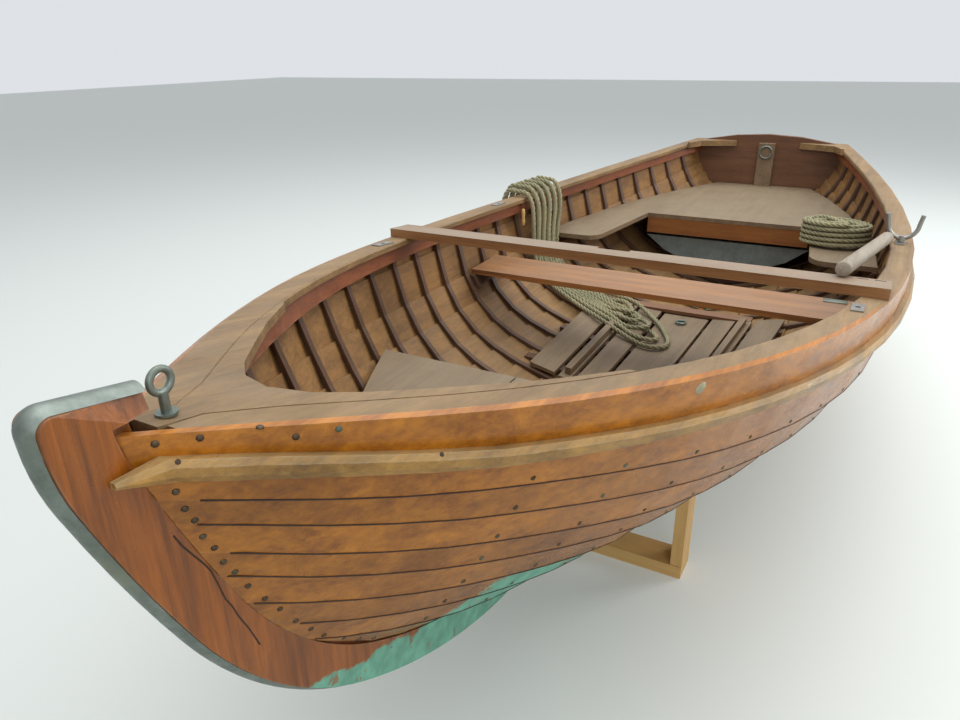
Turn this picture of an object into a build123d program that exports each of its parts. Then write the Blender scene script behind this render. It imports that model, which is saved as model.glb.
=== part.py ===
from build123d import *
from collections import namedtuple
from functools import lru_cache
from math import cos, hypot, radians, sin, sqrt, tan
import os

# A clinker-built rowing boat with a transom stern, standing on its display cradles.
# +X runs to the bow, +Y to port and +Z up; the origin is on the floor under the middle of the boat.
# Heights in the hull tables are above the underside of the keel; keel_lift stands that on the floor.

os.makedirs("parts", exist_ok=True)

# Overall
length = 4446.0
keel_lift = 180.0
seat = 0.3                      # gap left where one piece lies on another
stern_x = -length / 2
stem_x = length / 2

# Backbone
keel_half = 22.0                # half the siding of keel and stem
rabbet_depth = 80.0             # from the outer edge of keel or stem in to the rabbet
rabbet_half = 14.3              # where the inner face of a plank meets the rabbet
tongue_half = 9.7               # the narrow inner part of the backbone, between the planks
tongue_depth = 14.0             # how far the tongue stands inside the rabbet
head_slope = 10.0               # the head top falls by this angle towards its after edge
head_foot = 898.0               # lower edge of the wide part of the head
head_bevel = 40.0               # how far its sides are worn down at the after end
head_ridge = 9.0                # half of what is left of its top there
head_length = 102.0             # of its sloping top
head_height = 940.0             # top of the stem head at its fore edge
scarf_x = 1000.0                # joint between keel and stem
band_width = 34.0
band_rise = 9.0
band_gap = 0.5
band_end_x = 860.0              # after end of the iron band under the keel
head_rise = 10.0                # straight part of the band above the last arc
head_bend = 16.0                # how tightly it turns over the head
scarf_run = 190.0               # length of the sloping joint
deadwood_x = -800.0             # where the planks begin to rise off the keel

# Planking
plank = 11.0
land = 20.0                     # width of the lap between two strakes
bevelled = 7.5                  # plank thickness left at the upper, bevelled edge
hood_run = 330.0                # the last stretch of each lap, along which it is cut flush
feather = 1.6                   # thickness left of both edges there at the stem
transom_thick = 25.0
transom_camber = 40.0

# Sheer line: half breadth to the outer edge of the gunwale and its height, from stern to bow
Station = namedtuple("Station", "x half_breadth sheer rise deadrise flare low_pull high_pull")
stations = [
    #        x      half    sheer   rise  dead  flare low   high
    Station(-2223.0, 430.0, 710.0, 240.0, 34.0, 12.0, 0.40, 0.42),
    Station(-1880.0, 528.0, 685.0, 160.0, 26.0, 9.0, 0.42, 0.44),
    Station(-1520.0, 616.0, 664.0, 105.0, 20.0, 7.0, 0.45, 0.46),
    Station(-1160.0, 685.0, 650.0, 82.0, 16.0, 5.0, 0.48, 0.47),
    Station(-800.0, 736.0, 642.0, 80.0, 14.0, 4.0, 0.50, 0.48),
    Station(-440.0, 767.0, 641.0, 80.0, 13.0, 4.0, 0.52, 0.48),
    Station(-80.0, 778.0, 648.0, 80.0, 13.0, 4.0, 0.52, 0.48),
    Station(280.0, 765.0, 663.0, 80.0, 14.0, 5.0, 0.51, 0.48),
    Station(640.0, 723.0, 686.0, 80.0, 17.0, 8.0, 0.49, 0.46),
    Station(1000.0, 644.0, 719.0, 80.0, 23.0, 13.0, 0.45, 0.43),
    Station(1360.0, 516.0, 760.0, 80.0, 35.0, 19.0, 0.40, 0.38),
    Station(1720.0, 322.0, 811.0, 80.0, 52.0, 22.0, 0.36, 0.34),
    Station(2110.0, 36.0, 881.0, 80.0, 78.0, 4.0, 0.33, 0.33),
]
# Widths of the strakes from the sheer down: share of the girth amidships and of the stem height
Strake = namedtuple("Strake", "amidships stem joint")
strakes = [
    Strake(0.0951, 0.0331, -80.0),
    Strake(0.1265, 0.0456, -440.0),
    Strake(0.1037, 0.0462, 220.0),
    Strake(0.1008, 0.0562, -440.0),
    Strake(0.0875, 0.0487, 220.0),
    Strake(0.0951, 0.0624, -440.0),
    Strake(0.1046, 0.0499, 220.0),
    Strake(0.1237, 0.0325, -440.0),
    Strake(0.1630, 0.6254, 220.0),
]
lap_ease = 2.5                  # how late the laps sweep up towards the stem
# Where the hull is drawn: between these sections every strake and strip runs straight
section_x = [stern_x, -1880.0, -1520.0, -1160.0, -800.0, -440.0, -80.0, 220.0, 460.0, 660.0, 840.0,
             1000.0, 1140.0, 1270.0, 1390.0, 1500.0, 1600.0, 1690.0, 1780.0, 1870.0, 1955.0, 2035.0,
             2110.0, 2160.0, 2200.0]

# The rubbing strake closes in on the sheer towards the bow: depth of its top below the sheer
Drop = namedtuple("Drop", "x depth")
rub_drops = [Drop(-2223.0, 66.0), Drop(-1160.0, 76.0), Drop(-80.0, 78.0), Drop(1000.0, 76.0),
             Drop(1500.0, 70.0), Drop(1800.0, 56.0), Drop(2110.0, 24.0), Drop(2200.0, 20.0)]

# Inside
rib_first_x = 1697.0
rib_spacing = 168.7
rib_count = 23
rib_width = 24.0
rib_thick = 11.0
rib_flat = 16.3                 # half of the level part of a rib, over the tongue
inwale_thick = 25.0
inwale_deep = 42.0
cap_width = 66.0                # of the gunwale's top, with the edge of the sheer strake
cap_thick = 18.0
cap_worn = 4.0                  # rounding of its edges
cap_fore_x = 2085.0
inwale_fore_x = 2040.0
rub_height = 30.0
rub_thick = 20.0
rub_round = 0.3                 # share of its height that each edge is rounded over
rub_flat = 0.7                  # share of its thickness before the rounding starts
rub_tip_x = 2105.0              # from here forward it tapers
rub_tip = 8.0                   # to this height and thickness
rub_end_x = 2160.0

# Seats
seat_level = 452.0              # top of thwart, bow seat and stern seat
seat_thick = 20.0
thwart_fore_x = 148.0
thwart_width = 225.0
beam_fore_x = 638.0
beam_width = 100.0
beam_thick = 27.0
beam_half = 720.0
notch_wide = 96.0               # mast notch in the after edge of the beam
notch_deep = 22.0
bow_seat_x = 975.0
stern_seat_x = -1147.0          # fore edge of the stern seat between its side arms
arm_fore_x = -552.0
arm_half_aft = 387.0
arm_half_fore = 448.0
arm_corner = 60.0
fascia_deep = 78.0
fascia_back = 2.0
fascia_thick = 20.0
tank_fore_x = -1180.0
tank_length = 560.0
tank_wall = 1.5
tank_hole = 22.0
bow_seat_fore = 1780.0
bow_board = 190.0               # width of the middle board of the bow seat
rib_clear = 1.0
riser_thick = 16.0
riser_deep = 42.0
riser_runs = [(-2197.0, -540.0), (-95.0, 166.0), (985.0, 1640.0)]
notch_offset = 7.0

# Bottom boards: inner edge and width from the middle line, height of the underside at each edge
Board = namedtuple("Board", "inner width low high thick")
boards = [
    Board(0.0, 95.0, 136.0, 136.0, 14.0),
    Board(112.0, 92.0, 142.0, 148.0, 14.0),
    Board(222.0, 50.0, 150.0, 156.0, 14.0),
    Board(290.0, 108.0, 166.0, 188.0, 14.0),
]
raised = [Board(229.0, 26.0, 165.5, 168.5, 26.0)]
board_thick = 14.0
board_gap = 4.0
board_fore_x = 345.0
board_aft_x = -520.0
board_taper = 0.12              # the boards close in towards the bow by this share
rail_short = 30.0
bearer_x = [263.0, -74.0, -412.0]
bearer_width = 40.0
bearer_half = 404.0
floorboard_width = 60.0
floorboard_half = 265.0
floorboard_low = 154.0
bearer_rise = 3.0               # how far the bearers' ends stand above the outer boards' undersides
tank_bearer_x = [-1255.0, -1592.6]
tank_bearer_in = 6.0
ledge_x = [990.0, 1420.0]       # ledges under the bow seat
ledge_width = 40.0
ledge_deep = 30.0

# Fittings
socket_x = [765.0, -150.0]
socket_inset = 39.5             # from the edge of the gunwale in to the pin
socket_bore = 6.5
sleeve_radius = 9.0
sleeve_length = 32.0
socket_plate = 76.0
rowlock_x = -150.0
pin_radius = 6.45
horn_radius = 44.0
horn_wire = 7.0
horn_rise = 32.0
horn_flare = 6.0
neck_radius = 9.0
collar_radius = 14.0
collar_high = 9.0
collar_gap = 4.0
pin_length = 52.0
socket_width = 27.0
socket_thick = 3.0
eye_x = 2064.0
eye_z = 916.0
eye_ring = 14.0
eye_wire = 4.5
eye_shank = 6.0
eye_flange = 13.0
eye_plate = 3.0
eye_tail = 22.0
lift_x = -420.0
lift_long = 56.0
lift_thick = 3.0
lift_wire = 4.0
lift_radius = 20.0

# Knees: plan points of the breasthook's hollow edge from the middle line out, and sizes
Point = namedtuple("Point", "x y")
hook_edge = [Point(1913.0, 0.0), Point(1893.0, 60.0), Point(1845.0, 112.0), Point(1760.0, 180.0),
             Point(1640.0, 272.0), Point(1500.0, 363.0)]
hook_thick_x = 1850.0
hook_deep = 30.0
knee_long = 200.0
knee_wide = 190.0
knee_end = 14.0
post_half = 45.0
post_deep = 32.0
post_top = 700.0
ring_z = 650.0
ring_radius = 34.0
ring_wire = 5.0

# Cradles
cradle_x = [740.0, -760.0]
base_half = 346.0
base_width = 95.0
base_thick = 40.0
post_thick = 33.0
post_width = 90.0
post_clear = 1.2
chock_half = 45.0


def fair(column, x):
    """Value of one column of the station table at x, on a smooth curve through its rows."""
    xs = [row.x for row in stations]
    vs = [getattr(row, column) for row in stations]
    i = max(0, min(len(xs) - 2, sum(1 for v in xs if v <= x) - 1))

    def slope(k):
        a, b = max(0, k - 1), min(len(xs) - 1, k + 1)
        return (vs[b] - vs[a]) / (xs[b] - xs[a])

    span = xs[i + 1] - xs[i]
    t = (x - xs[i]) / span
    if t < 0 or t > 1:
        k = i if t < 0 else i + 1
        return vs[k] + slope(k) * (x - xs[k])
    m0, m1 = slope(i) * span, slope(i + 1) * span
    return ((2 * t**3 - 3 * t**2 + 1) * vs[i] + (t**3 - 2 * t**2 + t) * m0
            + (3 * t**2 - 2 * t**3) * vs[i + 1] + (t**3 - t**2) * m1)


# The backbone's outer edge is a straight keel and five arcs, each tangent to the one before
Arc = namedtuple("Arc", "radius turn")
arcs = [
    Arc(493.0, 12.4),
    Arc(1430.0, 22.5),
    Arc(851.0, 30.2),
    Arc(2491.0, 6.2),
    Arc(300.0, 16.7),
]


def forefoot_x():
    """Where the keel starts to turn up, so that the stem's fore edge comes out at stem_x."""
    reach, angle = 0.0, 0.0
    for radius, turn in arcs:
        reach += radius * (sin(radians(angle + turn)) - sin(radians(angle)))
        angle += turn
    return stem_x - band_rise - band_gap - reach


def backbone_height(x, inset):
    """Height of the backbone's edge, set in by inset from the outer edge, at x."""
    cx, cz, angle = forefoot_x(), arcs[0].radius, 0.0
    if x <= cx:
        return inset
    for k, (radius, turn) in enumerate(arcs):
        r = radius - inset
        end = radians(angle + turn)
        if x <= cx + r * sin(end) or k == len(arcs) - 1:
            s = min(0.9995, (x - cx) / r)
            return cz - r * sqrt(1 - s * s)
        step = radius - arcs[k + 1].radius
        cx += step * sin(end)
        cz -= step * cos(end)
        angle += turn


def backbone_edge(inset, start_x):
    """The same edge as a chain of one line and the tangent arcs, on the middle plane."""
    line = Line((start_x, inset), (forefoot_x(), inset))
    chain = [line]
    for radius, turn in arcs:
        last = chain[-1]
        chain.append(JernArc(last @ 1, last % 1, radius - inset, turn))
    return chain


def rabbet_height(x):
    """The rabbet: along the keel, up to the transom aft and up the stem forward."""
    return max(fair("rise", min(x, 0.0)), backbone_height(x, rabbet_depth))


def section_spread(x):
    """How much wider a strip that follows the sheer is across the boat than square to itself."""
    near = 20.0
    slope = (fair("half_breadth", x + near) - fair("half_breadth", x - near)) / (2 * near)
    return sqrt(1 + min(abs(slope), 1.0)**2)


def along(x, value_at):
    """Some numbers at x, on the straight run between the two hull sections beside it."""
    i = max(0, min(len(section_x) - 2, sum(1 for v in section_x if v <= x) - 1))
    a, b = section_x[i], section_x[i + 1]
    t = (x - a) / (b - a)
    return tuple(p + (q - p) * t for p, q in zip(value_at(a), value_at(b)))


def spread(x):
    return along(x, lambda s: (section_spread(s),))[0]


def half_breadth(x):
    return along(x, lambda s: (fair("half_breadth", s),))[0]


def sheer(x):
    return along(x, lambda s: (fair("sheer", s),))[0]


def sheer_point(x):
    """Inner top corner of the sheer strake at a section."""
    return fair("half_breadth", x) - plank * section_spread(x), fair("sheer", x)


@lru_cache(maxsize=None)
def curve(x):
    """Points down the moulded section at x, from the rabbet to the sheer."""
    k = (rabbet_half, rabbet_height(x))
    e = sheer_point(x)
    chord = hypot(e[0] - k[0], e[1] - k[1])
    dead, flare = radians(fair("deadrise", x)), radians(fair("flare", x))
    low, high = fair("low_pull", x) * chord, fair("high_pull", x) * chord
    a = (k[0] + low * cos(dead), k[1] + low * sin(dead))
    b = (e[0] - high * sin(flare), e[1] - high * cos(flare))
    points = []
    steps = 60
    for i in range(steps + 1):
        t = i / steps
        w = ((1 - t)**3, 3 * t * (1 - t)**2, 3 * t * t * (1 - t), t**3)
        points.append(tuple(w[0] * k[n] + w[1] * a[n] + w[2] * b[n] + w[3] * e[n] for n in (0, 1)))
    return points


def walk(points, down):
    """Point and outward normal at a girth distance down from the sheer; straight on past the rabbet."""
    left = down
    for i in range(len(points) - 1, 0, -1):
        p, q = points[i], points[i - 1]
        step = hypot(p[0] - q[0], p[1] - q[1])
        d = ((q[0] - p[0]) / step, (q[1] - p[1]) / step)
        if left <= step or i == 1:
            return (p[0] + d[0] * left, p[1] + d[1] * left), (-d[1], d[0])
        left -= step


def girth(x):
    points = curve(x)
    return sum(hypot(p[0] - q[0], p[1] - q[1]) for p, q in zip(points, points[1:]))


full_girth = girth(-80.0)
stem_height = fair("sheer", 2110.0) - rabbet_depth
last_section = 2110.0


def down_at(j, x):
    """Girth distance of lap j below the sheer: a share of the girth aft and amidships, of the stem forward."""
    mid = sum(s.amidships for s in strakes[:j]) * full_girth
    bow = sum(s.stem for s in strakes[:j]) * stem_height
    aft = mid * girth(stern_x) / full_girth
    if x < 0:
        return mid + (aft - mid) * (x / stern_x)**2
    return mid + (bow - mid) * (x / last_section)**lap_ease


@lru_cache(maxsize=None)
def section_point(j, x):
    """Inner corner at the top of strake j (0 is the sheer, 9 the rabbet) at a section, and its
    outward normal. Ahead of the last section it goes straight on."""
    if x > last_section:
        back = 40.0
        a, n = section_point(j, last_section)
        b, _ = section_point(j, last_section - back)
        f = (x - last_section) / back
        return (a[0] + (a[0] - b[0]) * f, a[1] + (a[1] - b[1]) * f), n
    if j == len(strakes):
        return walk(curve(x), max(girth(x), down_at(j - 1, x) + land))
    return walk(curve(x), down_at(j, x))


def lap_point(j, x):
    """The same corner and normal at any x."""
    y, z, ny, nz = along(x, lambda s: (*section_point(j, s)[0], *section_point(j, s)[1]))
    return (y, z), (ny, nz)


def passed(j, x):
    """Whether lap j has run past the rabbet at x, so that the strake above it has ended."""
    if x > last_section:
        return True
    return j < len(strakes) and down_at(j, x) > girth(x)


def shift(p, d, amount):
    return p[0] + d[0] * amount, p[1] + d[1] * amount


@lru_cache(maxsize=None)
def hood_x(j):
    """Where lap j runs out at the rabbet."""
    low, high = forefoot_x(), last_section
    if down_at(j, high) <= girth(high):
        return stem_x
    while high - low > 1.0:
        middle = (low + high) / 2
        low, high = (low, middle) if down_at(j, middle) > girth(middle) else (middle, high)
    return low


def faired(j, x):
    """0 where a lap stands proud, rising to 1 where it is cut flush for the stem."""
    def at(s):
        return (max(0.0, min(1.0, 1.0 - (hood_x(j) - s) / hood_run)),)
    return along(x, at)[0]


def bevel_left(j, x):
    """Thickness left at the upper edge of the strake inside lap j."""
    return bevelled + (feather - bevelled) * faired(j, x)


def lip(j, x):
    """Thickness of the lower edge of the strake outside lap j."""
    return plank + (feather - plank) * faired(j, x)


def lap(j, x):
    """The four corners of a lap: lower and upper end of the land on the outer strake's inner face,
    and the same two on the inner strake's outer face, one seat further in."""
    (y, z), n = lap_point(j, x)
    k = spread(x)
    down = (n[1], -n[0])
    upper = shift((y, z), n, bevel_left(j, x) * k)
    lower = shift(shift((y, z), n, plank * k), down, land)
    return lower, upper, shift(lower, n, -seat), shift(upper, n, -seat)


def strake_section(j, x):
    """Cross-section of strake j, counted down from the sheer: its inner face runs from the land
    on the strake below up to its own top edge."""
    k = spread(x)
    top, top_n = lap_point(j, x)
    if j == 0:
        outer_top = [shift(top, top_n, plank * k)]
    else:
        _, _, low, high = lap(j, x)
        outer_top = [high, low]
    if j == len(strakes) - 1:
        base, base_n = lap_point(j + 1, x)
        return [base, top] + outer_top + [shift(base, base_n, plank * k)]
    lower, upper, _, _ = lap(j + 1, x)
    _, n = lap_point(j + 1, x)
    return [lower, upper, top] + outer_top + [shift(lower, n, lip(j + 1, x) * k)]


def ring(x, points):
    return Wire.make_polygon([Vector(x, y, z + keel_lift) for y, z in points], close=True)


def ruled(sections):
    """A solid through closed outlines in planes across the boat, straight between them."""
    return Solid.make_loft([ring(x, points) for x, points in sections], ruled=True)


def both_sides(solid):
    return [solid, mirror(solid, about=Plane.XZ)]


def lengthwise(points_of, xs):
    """A strip that runs along the hull: its outline from points_of(x) at each section."""
    return ruled([(x, points_of(x)) for x in xs])


def side_plate(edges, half):
    """An outline on the middle plane, given in x and height, extruded to both sides."""
    placed = Plane.XZ * Pos(0, keel_lift, 0) * make_face(Curve() + edges)
    return extrude(placed, amount=half, both=True)


def save(name, solids):
    solids = [s for item in solids for s in (item.solids() if hasattr(item, "solids") else [item])]
    shape = solids[0] if len(solids) == 1 else Compound(solids)
    export_step(shape, f"parts/{name}.step")


def block(x0, x1, y0, y1, z0, z1):
    """A plain board between two corners, its heights above the keel's underside."""
    box = Box(x1 - x0, y1 - y0, z1 - z0)
    return Pos((x0 + x1) / 2, (y0 + y1) / 2, (z0 + z1) / 2 + keel_lift) * box


# Planking
def beyond_rabbet():
    """Everything outside the rabbet, which the hood ends of the strakes are cut back to, and the
    place of the tongue between the two sides."""
    far, wide = 300.0, 400.0
    chain = backbone_edge(rabbet_depth - plank, forefoot_x() - far)
    start, end = chain[0] @ 0, chain[-1] @ 1
    edge = stem_x + far
    rest = Polyline(end, (end.X, head_height + far), (edge, head_height + far), (edge, -far),
                    (start.X, -far), start)
    tongue = block(stern_x - far, edge, -tongue_half - seat, tongue_half + seat, 0.0, head_height + far)
    return side_plate([*chain, rest], wide) + tongue


cutter = beyond_rabbet()


def make_strake(j):
    """The two lengths of strake j, which meet at a joint that is staggered from strake to strake."""
    xs = []
    for x in section_x:
        xs.append(x)
        if passed(j, x):
            break
    joint = strakes[j].joint
    aft = [x for x in xs if x < joint] + [joint - seat / 2]
    fore = [joint + seat / 2] + [x for x in xs if x > joint]
    lengths = []
    for run in (aft, fore):
        trimmed = lengthwise(lambda x: strake_section(j, x), run) - cutter
        lengths.append(max(trimmed.solids(), key=lambda s: s.volume))
    return lengths


for j in range(len(strakes)):
    aft, fore = make_strake(j)
    save(f"strake_{len(strakes) - j}", both_sides(aft) + both_sides(fore))
print("strakes done")


# Backbone
def head_edge(inset):
    """Outer edge of the stem head: up from the last arc, over the top and down its slope aft."""
    tip = backbone_edge(inset, scarf_x)[-1]
    rise = Line(tip @ 1, tip @ 1 + (tip % 1) * head_rise)
    turned = sum(turn for _, turn in arcs)
    turn = JernArc(rise @ 1, rise % 1, head_bend - inset, 180.0 + head_slope - turned)
    run = Line(turn @ 1, turn @ 1 + (turn % 1) * head_length)
    return [rise, turn, run]


def scarf_side(sign, gap):
    """Everything ahead of (+1) or behind (-1) the sloping joint between keel and stem."""
    low, far = -100.0, 4000.0
    high = rabbet_depth + 2 * tongue_depth
    lean = scarf_run / (rabbet_depth + tongue_depth)
    shift_x = sign * gap * hypot(1.0, lean)
    a = (scarf_x + shift_x + lean * low, low)
    b = (scarf_x + shift_x + lean * high, high)
    ahead = scarf_x + sign * far
    return side_plate([Polyline(a, b, (b[0], far), (ahead, far), (ahead, low), a)], keel_half * 4)


def tongue_plate(inner, outer):
    """A narrow plate between two chains of edges that both start at the same x."""
    return side_plate([*inner, Line(inner[-1] @ 1, outer[-1] @ 1), *outer,
                       Line(outer[0] @ 0, inner[0] @ 0)], tongue_half)


def worn_side():
    """What is worn off the port side of the stem head: nothing at its fore end, most at its after end."""
    run = head_edge(0.0)[-1]
    fore, aft = run @ 0, run @ 1
    corners = [(fore.X, keel_half, fore.Y), (aft.X, keel_half, aft.Y - head_bevel), (aft.X, head_ridge, aft.Y)]
    a, b, c = [Vector(x, y, z + keel_lift) for x, y, z in corners]
    wide, deep = 4 * head_length, 2 * head_bevel
    return Plane(origin=a, z_dir=(b - a).cross(c - a)) * Pos(0, 0, deep / 2) * Box(wide, wide, deep)


def make_stem():
    """Stem and forefoot: siding 44 outside the rabbet, with a narrow tongue up between the planks."""
    start = scarf_x - scarf_run
    depth = rabbet_depth - plank - seat
    outer, inner = backbone_edge(0.0, start), backbone_edge(depth, start)
    body = side_plate([*outer, Line(outer[-1] @ 1, inner[-1] @ 1), *inner, Line(inner[0] @ 0, outer[0] @ 0)],
                      keel_half)
    edge = head_edge(0.0)
    tip, heel, neck = edge[0] @ 0, edge[-1] @ 1, inner[-1] @ 1
    foot = Polyline(heel, (heel.X, head_foot), (neck.X + plank, head_foot), (neck.X + plank, tip.Y - plank),
                    (tip.X, tip.Y - plank), tip)
    head = side_plate([*edge, foot], keel_half)
    back = tongue_plate(backbone_edge(depth - plank / 2, start),
                        backbone_edge(rabbet_depth + tongue_depth, start))
    worn = worn_side()
    return (body + head + back - worn - mirror(worn, about=Plane.XZ)) & scarf_side(1, seat / 2)


def make_keel():
    """Keel plank with the same tongue, from the stem scarf back to where the planks rise off it."""
    top = rabbet_depth - plank - seat
    end = scarf_x + scarf_run
    body = block(stern_x, end, -keel_half, keel_half, 0.0, top)
    back = block(deadwood_x, end, -tongue_half, tongue_half, top - plank / 2, rabbet_depth + tongue_depth)
    return (body + back) & scarf_side(-1, seat / 2)


def tongue_top(x):
    """Height of the top of the tongue, aft, amidships and up the stem."""
    aft = along(min(x, 0.0), lambda s: (fair("rise", s),))[0]
    return max(aft + tongue_depth, backbone_height(x, rabbet_depth + tongue_depth))


def deadwood_top(x):
    """Under the lower outer corner of the garboards."""
    (y, z), n = lap_point(len(strakes), x)
    return shift((y, z), n, plank * spread(x))[1] - seat


def make_deadwood():
    """Fills the space between the straight keel and the rising planks aft."""
    foot = rabbet_depth - plank
    fore, aft = deadwood_x - seat, stern_x + transom_thick + seat
    xs = [x for x in reversed(section_x) if stern_x < x < deadwood_x]
    tops = [(fore, tongue_top(fore))] + [(x, tongue_top(x)) for x in xs] + [(aft, tongue_top(aft))]
    start = tops[0]
    back = side_plate([Polyline((fore, foot), *tops, (aft, foot), (fore, foot))], tongue_half)
    xs = [x for x in xs if deadwood_top(x) > foot + seat] + [stern_x]
    tops = [(x, deadwood_top(x)) for x in xs]
    body = side_plate([Polyline((xs[0], foot), *tops, (stern_x, foot), (xs[0], foot))], keel_half)
    return body + back


def half_round(width, height):
    """Outline of a half-round strip lying on its flat."""
    a, b = (-width / 2, 0), (width / 2, 0)
    return [ThreePointArc(a, (0, -height), b), Line(b, a)]


def make_band():
    """Half-round iron band under the keel, up the stem and over its head."""
    path = Plane.XZ * Pos(0, keel_lift, 0) * Wire(backbone_edge(-band_gap, band_end_x) + head_edge(-band_gap))
    profile = Plane(origin=path @ 0, z_dir=path % 0, x_dir=(0, 1, 0))
    return sweep(profile * make_face(Curve() + half_round(band_width, band_rise)), path=path)


def lap_corners(j, x):
    """Where an inner piece clears the top edge of strake j: at its inner and its outer corner."""
    p, n = lap_point(j, x)
    up = (-n[1], n[0])
    near = shift(shift(p, n, -seat), up, seat)
    far = shift(shift(p, n, bevel_left(j, x) * spread(x) - seat), up, seat)
    return near, far


def strake_inside(x, down):
    """Half breadth of the inner face of the sheer strake, one seat in, at a distance below its top."""
    (y0, z0), (y1, z1) = lap_point(0, x)[0], lap_point(1, x)[0]
    return y0 + (y1 - y0) * down / (z0 - z1) - seat * spread(x)


def transom_outline(x):
    """From the tab on the deadwood up the notched edge to the cambered top, and down the other side."""
    (_, rise), _ = lap_point(len(strakes), x)
    side = [(tongue_half, deadwood_top(x) + seat), (tongue_half, rise + seat)]
    p, n = lap_point(len(strakes), x)
    side.append(shift(p, n, -seat))
    for j in range(len(strakes) - 1, 0, -1):
        side += lap_corners(j, x)
    inner = cap_inner(x) - seat
    top = sheer(x)
    low = top - cap_thick - seat
    crown = 0.75
    side += [(strake_inside(x, top - low), low), (inner, low), (inner, top),
             (inner / 2, top + transom_camber * crown), (0.0, top + transom_camber)]
    return side + [(-y, z) for y, z in reversed(side[:-1])]


def cap_inner(x):
    """Inner edge of the gunwale cap; at the bow the two leave room for the stem head between them."""
    return max(half_breadth(x) - cap_width * spread(x), keel_half + 2 * seat)


def make_transom():
    """Flat board inside the strakes' after ends, its edge notched to take each one."""
    return ruled([(x, transom_outline(x)) for x in (stern_x, stern_x + transom_thick)])


save("keel", [make_keel()])
save("stem", [make_stem()])
save("deadwood", [make_deadwood()])
save("stem_band", [make_band()])
save("transom", [make_transom()])
print("backbone done")


# Ribs, inwales and gunwale
fore_face = stern_x + transom_thick + seat      # where everything inside meets the transom


def laps_at(x):
    """How many strake tops a rib passes at x before it comes down to the tongue."""
    count = 0
    for j in range(len(strakes)):
        (y, z), _ = lap_point(j, x)
        if y < 3 * rib_flat or z < tongue_top(x) + 2 * rib_thick:
            break
        count = j + 1
    return count


def inner_line(x, inset, laps):
    """Down the inside of the planking, set in by inset, and across the top of the tongue."""
    k = spread(x)
    points = [shift(*lap_point(j, x), -inset * k) for j in range(laps)]
    (y0, z0), (y1, z1) = points[:2]
    top = sheer(x) - cap_thick - seat
    points[0] = (y0 + (y1 - y0) * (top - z0) / (z1 - z0), top)
    return points + [(rib_flat, tongue_top(x) + inset)]


def inside_y(x, z, inset):
    """Half breadth inside the planking, less inset, at height z."""
    points = inner_line(x, inset, laps_at(x))
    for (y0, z0), (y1, z1) in zip(points, points[1:]):
        if z1 <= z <= z0:
            return y0 + (y1 - y0) * (z0 - z) / (z0 - z1)
    return rib_flat


def mirrored(points):
    return [(-y, z) for y, z in reversed(points)]


def make_rib(x):
    """Steamed rib: a flat strip bent across the boat from gunwale to gunwale."""
    laps = laps_at(x + rib_width / 2)

    def outline(at):
        outer = inner_line(at, seat, laps)
        inner = inner_line(at, seat + rib_thick, laps)
        return outer + mirrored(outer) + [(-y, z) for y, z in inner] + list(reversed(inner))
    return ruled([(at, outline(at)) for at in (x - rib_width / 2, x + rib_width / 2)])


def stations_between(x0, x1):
    """The two ends and every hull section between them, from aft to forward."""
    return [x0] + [x for x in section_x if x0 < x < x1] + [x1]


def on_ribs(x, z, thick, deep, clear):
    """A strip laid along the inner faces of the ribs, its upper edge at height z."""
    inset = rib_thick + clear
    y0, y1 = inside_y(x, z, inset), inside_y(x, z - deep, inset)
    k = spread(x)
    return [(y0, z), (y0 - thick * k, z), (y1 - thick * k, z - deep), (y1, z - deep)]


def inwale_outline(x):
    return on_ribs(x, sheer(x) - cap_thick - seat, inwale_thick, inwale_deep, 2 * seat)


def cap_outline(x):
    """Gunwale cap, fitted inside the sheer strake with its top flush with the strake's edge."""
    inner, top = cap_inner(x), sheer(x)
    outer, under = strake_inside(x, 0.0), strake_inside(x, cap_thick)
    low, worn = top - cap_thick, min(cap_worn, (outer - inner) / 3)
    return [(under, low), (outer, top), (inner + worn, top), (inner, top - worn), (inner, low)]


def drop_at(x):
    """Depth of the rubbing strake's top below the sheer, straight between the rows of its table."""
    for a, b in zip(rub_drops, rub_drops[1:]):
        if x <= b.x:
            return a.depth + (b.depth - a.depth) * (x - a.x) / (b.x - a.x)
    return rub_drops[-1].depth


def rub_drop(x):
    return along(x, lambda s: (drop_at(s),))[0]


def rub_outline(x):
    """Half-round strip on the outside of the sheer strake, and on the side of the stem at its end."""
    lower, _, _, _ = lap(1, x)
    _, n1 = lap_point(1, x)
    k = spread(x)
    a = shift(*lap_point(0, x), (plank + seat) * k)
    b = shift(lower, n1, (lip(1, x) + seat) * k)
    share = [(rub_drop(x) + extra) / (a[1] - b[1]) for extra in (0.0, rub_height)]
    (y0, z0), (y1, z1) = [(a[0] + (b[0] - a[0]) * s, a[1] + (b[1] - a[1]) * s) for s in share]
    clear = keel_half + seat
    y0, y1 = max(y0, clear), max(y1, clear)
    round_off = rub_height * rub_round
    tip = max(0.0, min(1.0, (x - rub_tip_x) / (rub_end_x - rub_tip_x)))
    z0 -= (rub_height - rub_tip) * tip
    thick = (rub_thick - (rub_thick - rub_tip) * tip) * k
    round_off *= 1.0 - tip / 2
    return [(y0, z0), (y0 + thick * rub_flat, z0), (y0 + thick, z0 - round_off), (y1 + thick, z1 + round_off),
            (y1 + thick * rub_flat, z1), (y1, z1)]


ribs = [make_rib(rib_first_x - rib_spacing * k) for k in range(rib_count)]
save("ribs", ribs)
bores = [(x, half_breadth(x) - socket_inset * spread(x)) for x in socket_x]


def bored(solid, radius):
    """A port piece with the holes for the rowlock sockets through it."""
    for x, y in bores:
        solid = solid - Pos(x, y, keel_lift + sheer(x)) * Cylinder(radius, 6 * cap_thick)
    return solid


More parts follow.
